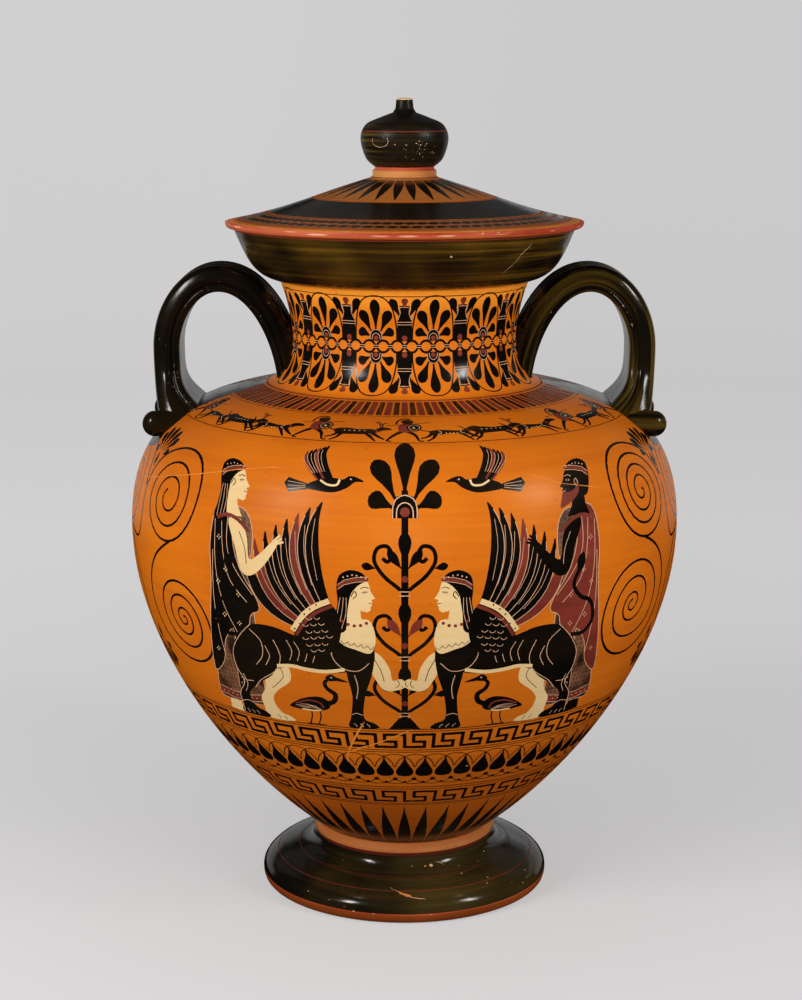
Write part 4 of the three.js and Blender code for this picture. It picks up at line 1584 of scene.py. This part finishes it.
def buildRivets():
    tipX, tipY, tipZ = (value * mm for value in handle["rivetTip"])
    inputs = {
        "Radius": ("NodeSocketFloat", handle["rivetRadius"] * mm),
        "Length": ("NodeSocketFloat", handle["rivetLength"] * mm),
        "Reach": ("NodeSocketFloat", tipX),
        "Side": ("NodeSocketFloat", tipY),
        "Height": ("NodeSocketFloat", tipZ),
        "Splay": ("NodeSocketFloat", handle["rivetSplay"]),
        "Material": ("NodeSocketMaterial", materials["handleGloss"]),
    }
    tree = rivetTree(inputs)
    piece = pieceFromBmesh(bmesh.new(), "rivets", paintList)
    modifier = piece.modifiers.new("rivets", "NODES")
    modifier.node_group = tree
    for socket in tree.interface.items_tree:
        if socket.in_out == "INPUT":
            modifier[socket.identifier] = inputs[socket.name][1]
    bpy.context.view_layer.update()
    mesh = bpy.data.meshes.new_from_object(piece.evaluated_get(bpy.context.evaluated_depsgraph_get()))
    piece.modifiers.remove(modifier)
    bpy.data.objects.remove(piece)
    bm = bmesh.new()
    bm.from_mesh(mesh)
    bpy.data.meshes.remove(mesh)
    unrolled = bm.loops.layers.uv.new("unrolled")
    baked = bm.loops.layers.uv.new("OFBake")
    for face in bm.faces:
        face.material_index = paintList.index(materials["handleGloss"])
        for loop in face.loops:
            x, y, z = loop.vert.co / mm
            loop[unrolled].uv = (y * mm, z * mm)
            shelf = handle["bakeShelves"][1 if x > 0 else -1]
            loop[baked].uv = (0.93 + 0.06 * (y + 60) / 120, shelf + 0.03 * (z - 320) / 40)
    return pieceFromBmesh(bm, "rivets", paintList)


def unite(piece, other):
    # join the other piece into this one as one closed body
    modifier = piece.modifiers.new("join", "BOOLEAN")
    modifier.operation = "UNION"
    modifier.solver = "MANIFOLD"
    modifier.object = other
    bpy.context.view_layer.update()
    ready = piece.evaluated_get(bpy.context.evaluated_depsgraph_get())
    mesh = bpy.data.meshes.new_from_object(ready)
    piece.modifiers.remove(modifier)
    old = piece.data
    piece.data = mesh
    bpy.data.meshes.remove(old)
    bpy.data.objects.remove(other)


def dropUnusedPaints(piece):
    mesh = piece.data
    used = sorted({polygon.material_index for polygon in mesh.polygons})
    indexes = [used.index(polygon.material_index) for polygon in mesh.polygons]
    mesh.materials.clear()
    for i in used:
        mesh.materials.append(paintList[i])
    mesh.polygons.foreach_set("material_index", indexes)


def buildJar():
    paintJar()
    print("jar painted:", len(jarSheet["shapes"]), "shapes")
    piece = buildSheet(jarSheet, "amphora", bakeJar)
    print("jar rolled up:", len(piece.data.polygons), "faces")
    for side in (1, -1):
        unite(piece, pieceFromBmesh(strapMesh(side), "strap", paintList))
    unite(piece, buildRivets())
    setNormals(piece, jarSheet, {paintList.index(materials[name]) for name in ("handleGloss", "edgeWearAndHighlight")})
    dropUnusedPaints(piece)
    print("handles joined:", len(piece.data.polygons), "faces")
    return piece


# Lid

lidSheet = newSheet(lidOutline(), lid["sheetRadius"], lid["roundSteps"], seamDegrees)
lidOutside = next(arc for arc, point in zip(lidSheet["arcs"], lidSheet["outline"]) if point[0] > 110)


def onLid(height):
    return arcAt(lidSheet, height, lidOutside)


def paintLid():
    sheet = lidSheet
    on = onLid
    top = sheet["arcs"][-1]

    def band(low, high, paint):
        addBand(sheet, on(low), on(high), paint)
    addBand(sheet, 0, lidOutside, "inside")
    addBand(sheet, lidOutside, on(471.2), "clay")
    band(471.2, 474.6, "rimRed")
    band(474.7, 475.3, "mendedClay")
    for unit in range(40):
        degrees = unit * 360 / 40 + random.uniform(-4, 4)
        half = random.uniform(2, 9)
        tall = random.uniform(0.3, 0.8)
        place = chart(sheet, degrees, on(random.choice((472.8, 474.0, 474.9))))
        fill(place, [(-half, 0.0), (-half * 0.3, -tall), (half * 0.5, -tall * 0.8), (half, 0.1),
            (half * 0.2, tall), (-half * 0.5, tall * 0.8)], "wornRed")
    band(476.1, 480.7, "leafGround")
    band(481.0, 490.2, "gloss")
    for height in (475.9, 480.7, 490.6):
        lineBand(sheet, on(height), 0.9, "red")
    for row, height in enumerate((477.5, 479.3)):
        for unit in range(84):
            place = chart(sheet, (unit + row * 0.5) * 360 / 84, on(height))
            fill(place, [(-4.3, -0.8), (-1.6, -2.5), (1.8, -2.3), (4.3, 0.8), (1.6, 2.4), (-2.0, 2.2)],
                "gloss")
    band(491.1, 503.6, "rayGround")
    rays(sheet, on(502.8), on(491.6), 29, [(0, 2.2), (0.1, 3.0), (0.25, 3.3), (0.5, 2.8), (0.75, 1.7),
        (0.9, 0.8), (1, 0.2)], "gloss", 0.5)
    band(503.6, 508.9, "ringClay")
    lineBand(sheet, on(504.2), 0.7, "thin")
    band(508.9, 511.2, "rimRed")
    band(511.2, 556.2, "knobGloss")
    for _ in range(34):
        turn = math.radians(random.gauss(20, 14))
        low = on(random.gauss(524, 3.5))
        reach = random.uniform(0.15, 0.5)
        addShape(sheet, [(turn - reach / 28, low), (turn + reach / 40, low - reach),
            (turn + reach / 22, low + reach / 3), (turn, low + reach)], "incised")
    oval = [(x - 1, y) for x, y in arcPoints(0, 0, 6.5, 150, 395, 14, 0.62)]
    stroke(chart(sheet, -32, on(529)), oval, 0.35, "incised")
    lineBand(sheet, on(535.5), 0.8, "red")
    addBand(sheet, on(556.2), top - 2.5, "white")
    addBand(sheet, top - 2.5, top, "gloss")


def bakeLid(across, v):
    if v <= lidOutside:
        return across, 0.74 + 0.24 * v / lidOutside
    return across, 0.004 + 0.72 * (v - lidOutside) / (lidSheet["arcs"][-1] - lidOutside)


def buildLid():
    paintLid()
    piece = buildSheet(lidSheet, "lidTop", bakeLid)
    setNormals(piece, lidSheet, set())
    dropUnusedPaints(piece)
    print("lid rolled up:", len(piece.data.polygons), "faces")
    return piece


amphora = buildJar()
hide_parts("vessel")
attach(amphora, "root")

lidTop = buildLid()
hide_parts("lid")
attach(lidTop, "root")


# Studio: a pale floor that curves up all round, a camera, and soft lights

studio = {
    "floorRadius": 2.6,
    "bend": 1.4,
    "wallTop": 4.2,
    "floorColor": (0.30, 0.298, 0.30),
    "glowColor": (1.0, 0.985, 0.99),
    "glowFrom": 0.1,
    "glowTo": 1.2,
    "glowNear": 0.35,
    "glowLean": 0.012,
    "glowFar": 0.45,
    "cameraPlace": (-0.0024, -1.484, 0.5775),
    "cameraPitch": math.radians(78.57),
    "lens": 76.96,
    "aim": (0, 0, 0.28),
    "leanHalfWidth": 0.35,
    "sensorWidth": 36.0,
    "clipStart": 0.05,
    "worldColor": (0.9, 0.9, 0.92, 1.0),
    "worldStrength": 0.17,
}

# place, size, watts, and whether the light shows as a reflection
lights = {
    "leftWindow": ((-1.1, -0.95, 1.15), (0.22, 0.42), 5.5, True),
    "rightWindow": ((1.25, -0.72, 1.15), (0.22, 0.42), 4.5, True),
    "leftFill": ((-1.45, -1.15, 0.62), (0.8, 0.8), 19, False),
    "rightFill": ((1.45, -1.15, 0.62), (0.8, 0.8), 16, False),
    "frontFill": ((0, -2.4, 0.75), (1.4, 0.8), 11.5, False),
    "lowCard": ((0, 2.4, 0.25), (6.0, 1.0), 7.5, True),
    "rightCard": ((1.5, 2.4, 0.95), (3.0, 0.4), 1.1, True),
    "highCard": ((0, 2.4, 1.9), (6.0, 1.5), 3.3, True),
}


def floorMaterial():
    # pale paint that glows a little more with distance, so that it looks evenly lit, and a little more on
    # the left, as painted light from that side
    material, tree, shader = newMaterial("paleFloor")
    shader.inputs["Base Color"].default_value = studio["floorColor"] + (1.0,)
    shader.inputs["Roughness"].default_value = 0.9
    shader.inputs["Specular IOR Level"].default_value = 0.0
    place = addNode(tree, "ShaderNodeTexCoord").outputs["Object"]
    away = addNode(tree, "ShaderNodeVectorMath", {0: place}, operation="LENGTH").outputs["Value"]
    glow = addNode(tree, "ShaderNodeMapRange", {"Value": away, "From Min": studio["glowFrom"],
        "From Max": studio["glowTo"], "To Min": studio["glowNear"], "To Max": studio["glowFar"]})
    across = addNode(tree, "ShaderNodeSeparateXYZ", {"Vector": place}).outputs[0]
    # brighter on the left than on the right: painted light from the left
    lean = addNode(tree, "ShaderNodeMapRange", {"Value": across, "From Min": -studio["leanHalfWidth"],
        "From Max": studio["leanHalfWidth"], "To Min": studio["glowLean"], "To Max": -studio["glowLean"]})
    strength = plus(tree, glow.outputs[0], lean.outputs[0])
    tree.links.new(strength, shader.inputs["Emission Strength"])
    shader.inputs["Emission Color"].default_value = studio["glowColor"] + (1.0,)
    return material


def buildFloor():
    outline = [(0.0, 0.0), (0.4, 0.0), (1.2, 0.0), (studio["floorRadius"], 0.0)]
    for i in range(1, 13):
        angle = math.pi / 2 * i / 12
        outline.append((studio["floorRadius"] + studio["bend"] * math.sin(angle),
            studio["bend"] * (1 - math.cos(angle))))
    outline.append((studio["floorRadius"] + studio["bend"], studio["wallTop"]))
    bm = bmesh.new()
    steps = 72
    rings = []
    for radius, height in outline:
        rings.append([bm.verts.new((radius * math.cos(math.tau * i / steps),
            radius * math.sin(math.tau * i / steps), height)) for i in range(steps)])
    for low, high in zip(rings, rings[1:]):
        for i in range(steps):
            bm.faces.new((low[i], low[(i + 1) % steps], high[(i + 1) % steps], high[i])).smooth = True
    bmesh.ops.remove_doubles(bm, verts=bm.verts, dist=1e-6)
    bmesh.ops.dissolve_degenerate(bm, dist=1e-6, edges=bm.edges)
    bmesh.ops.recalc_face_normals(bm, faces=bm.faces)
    floor = pieceFromBmesh(bm, "floor", [floorMaterial()])
    floor.visible_glossy = False
    floor.visible_diffuse = False


def softLight(name, place, size, power, reflected):
    light = bpy.data.lights.new(name, "AREA")
    light.shape = "RECTANGLE"
    light.size, light.size_y = size
    light.energy = power
    holder = bpy.data.objects.new(name, light)
    holder.location = place
    holder.rotation_euler = (Vector(studio["aim"]) - Vector(place)).to_track_quat("-Z", "Y").to_euler()
    holder.visible_camera = False
    holder.visible_glossy = reflected
    bpy.context.scene.collection.objects.link(holder)


def buildStudio():
    buildFloor()
    camera = bpy.data.cameras.new("camera")
    camera.lens = studio["lens"]
    camera.sensor_width = studio["sensorWidth"]
    camera.clip_start = studio["clipStart"]
    holder = bpy.data.objects.new("camera", camera)
    holder.location = studio["cameraPlace"]
    holder.rotation_euler = (studio["cameraPitch"], 0, 0)
    bpy.context.scene.collection.objects.link(holder)
    bpy.context.scene.camera = holder
    for name, values in lights.items():
        softLight(name, *values)
    # the cards are there for the reflections alone
    for name in ("lowCard", "rightCard", "highCard"):
        bpy.data.objects[name].visible_diffuse = False
    world = bpy.data.worlds.new("studio")
    world.use_nodes = True
    background = world.node_tree.nodes["Background"].inputs
    background["Color"].default_value = studio["worldColor"]
    background["Strength"].default_value = studio["worldStrength"]
    # the next setting looks up the scene's world, so the scene gets it first
    bpy.context.scene.world = world
    world.cycles_visibility.glossy = False
    settings = bpy.context.scene.view_settings
    settings.view_transform = "Standard"
    settings.look = "Medium High Contrast"
    print("studio ready")


buildStudio()
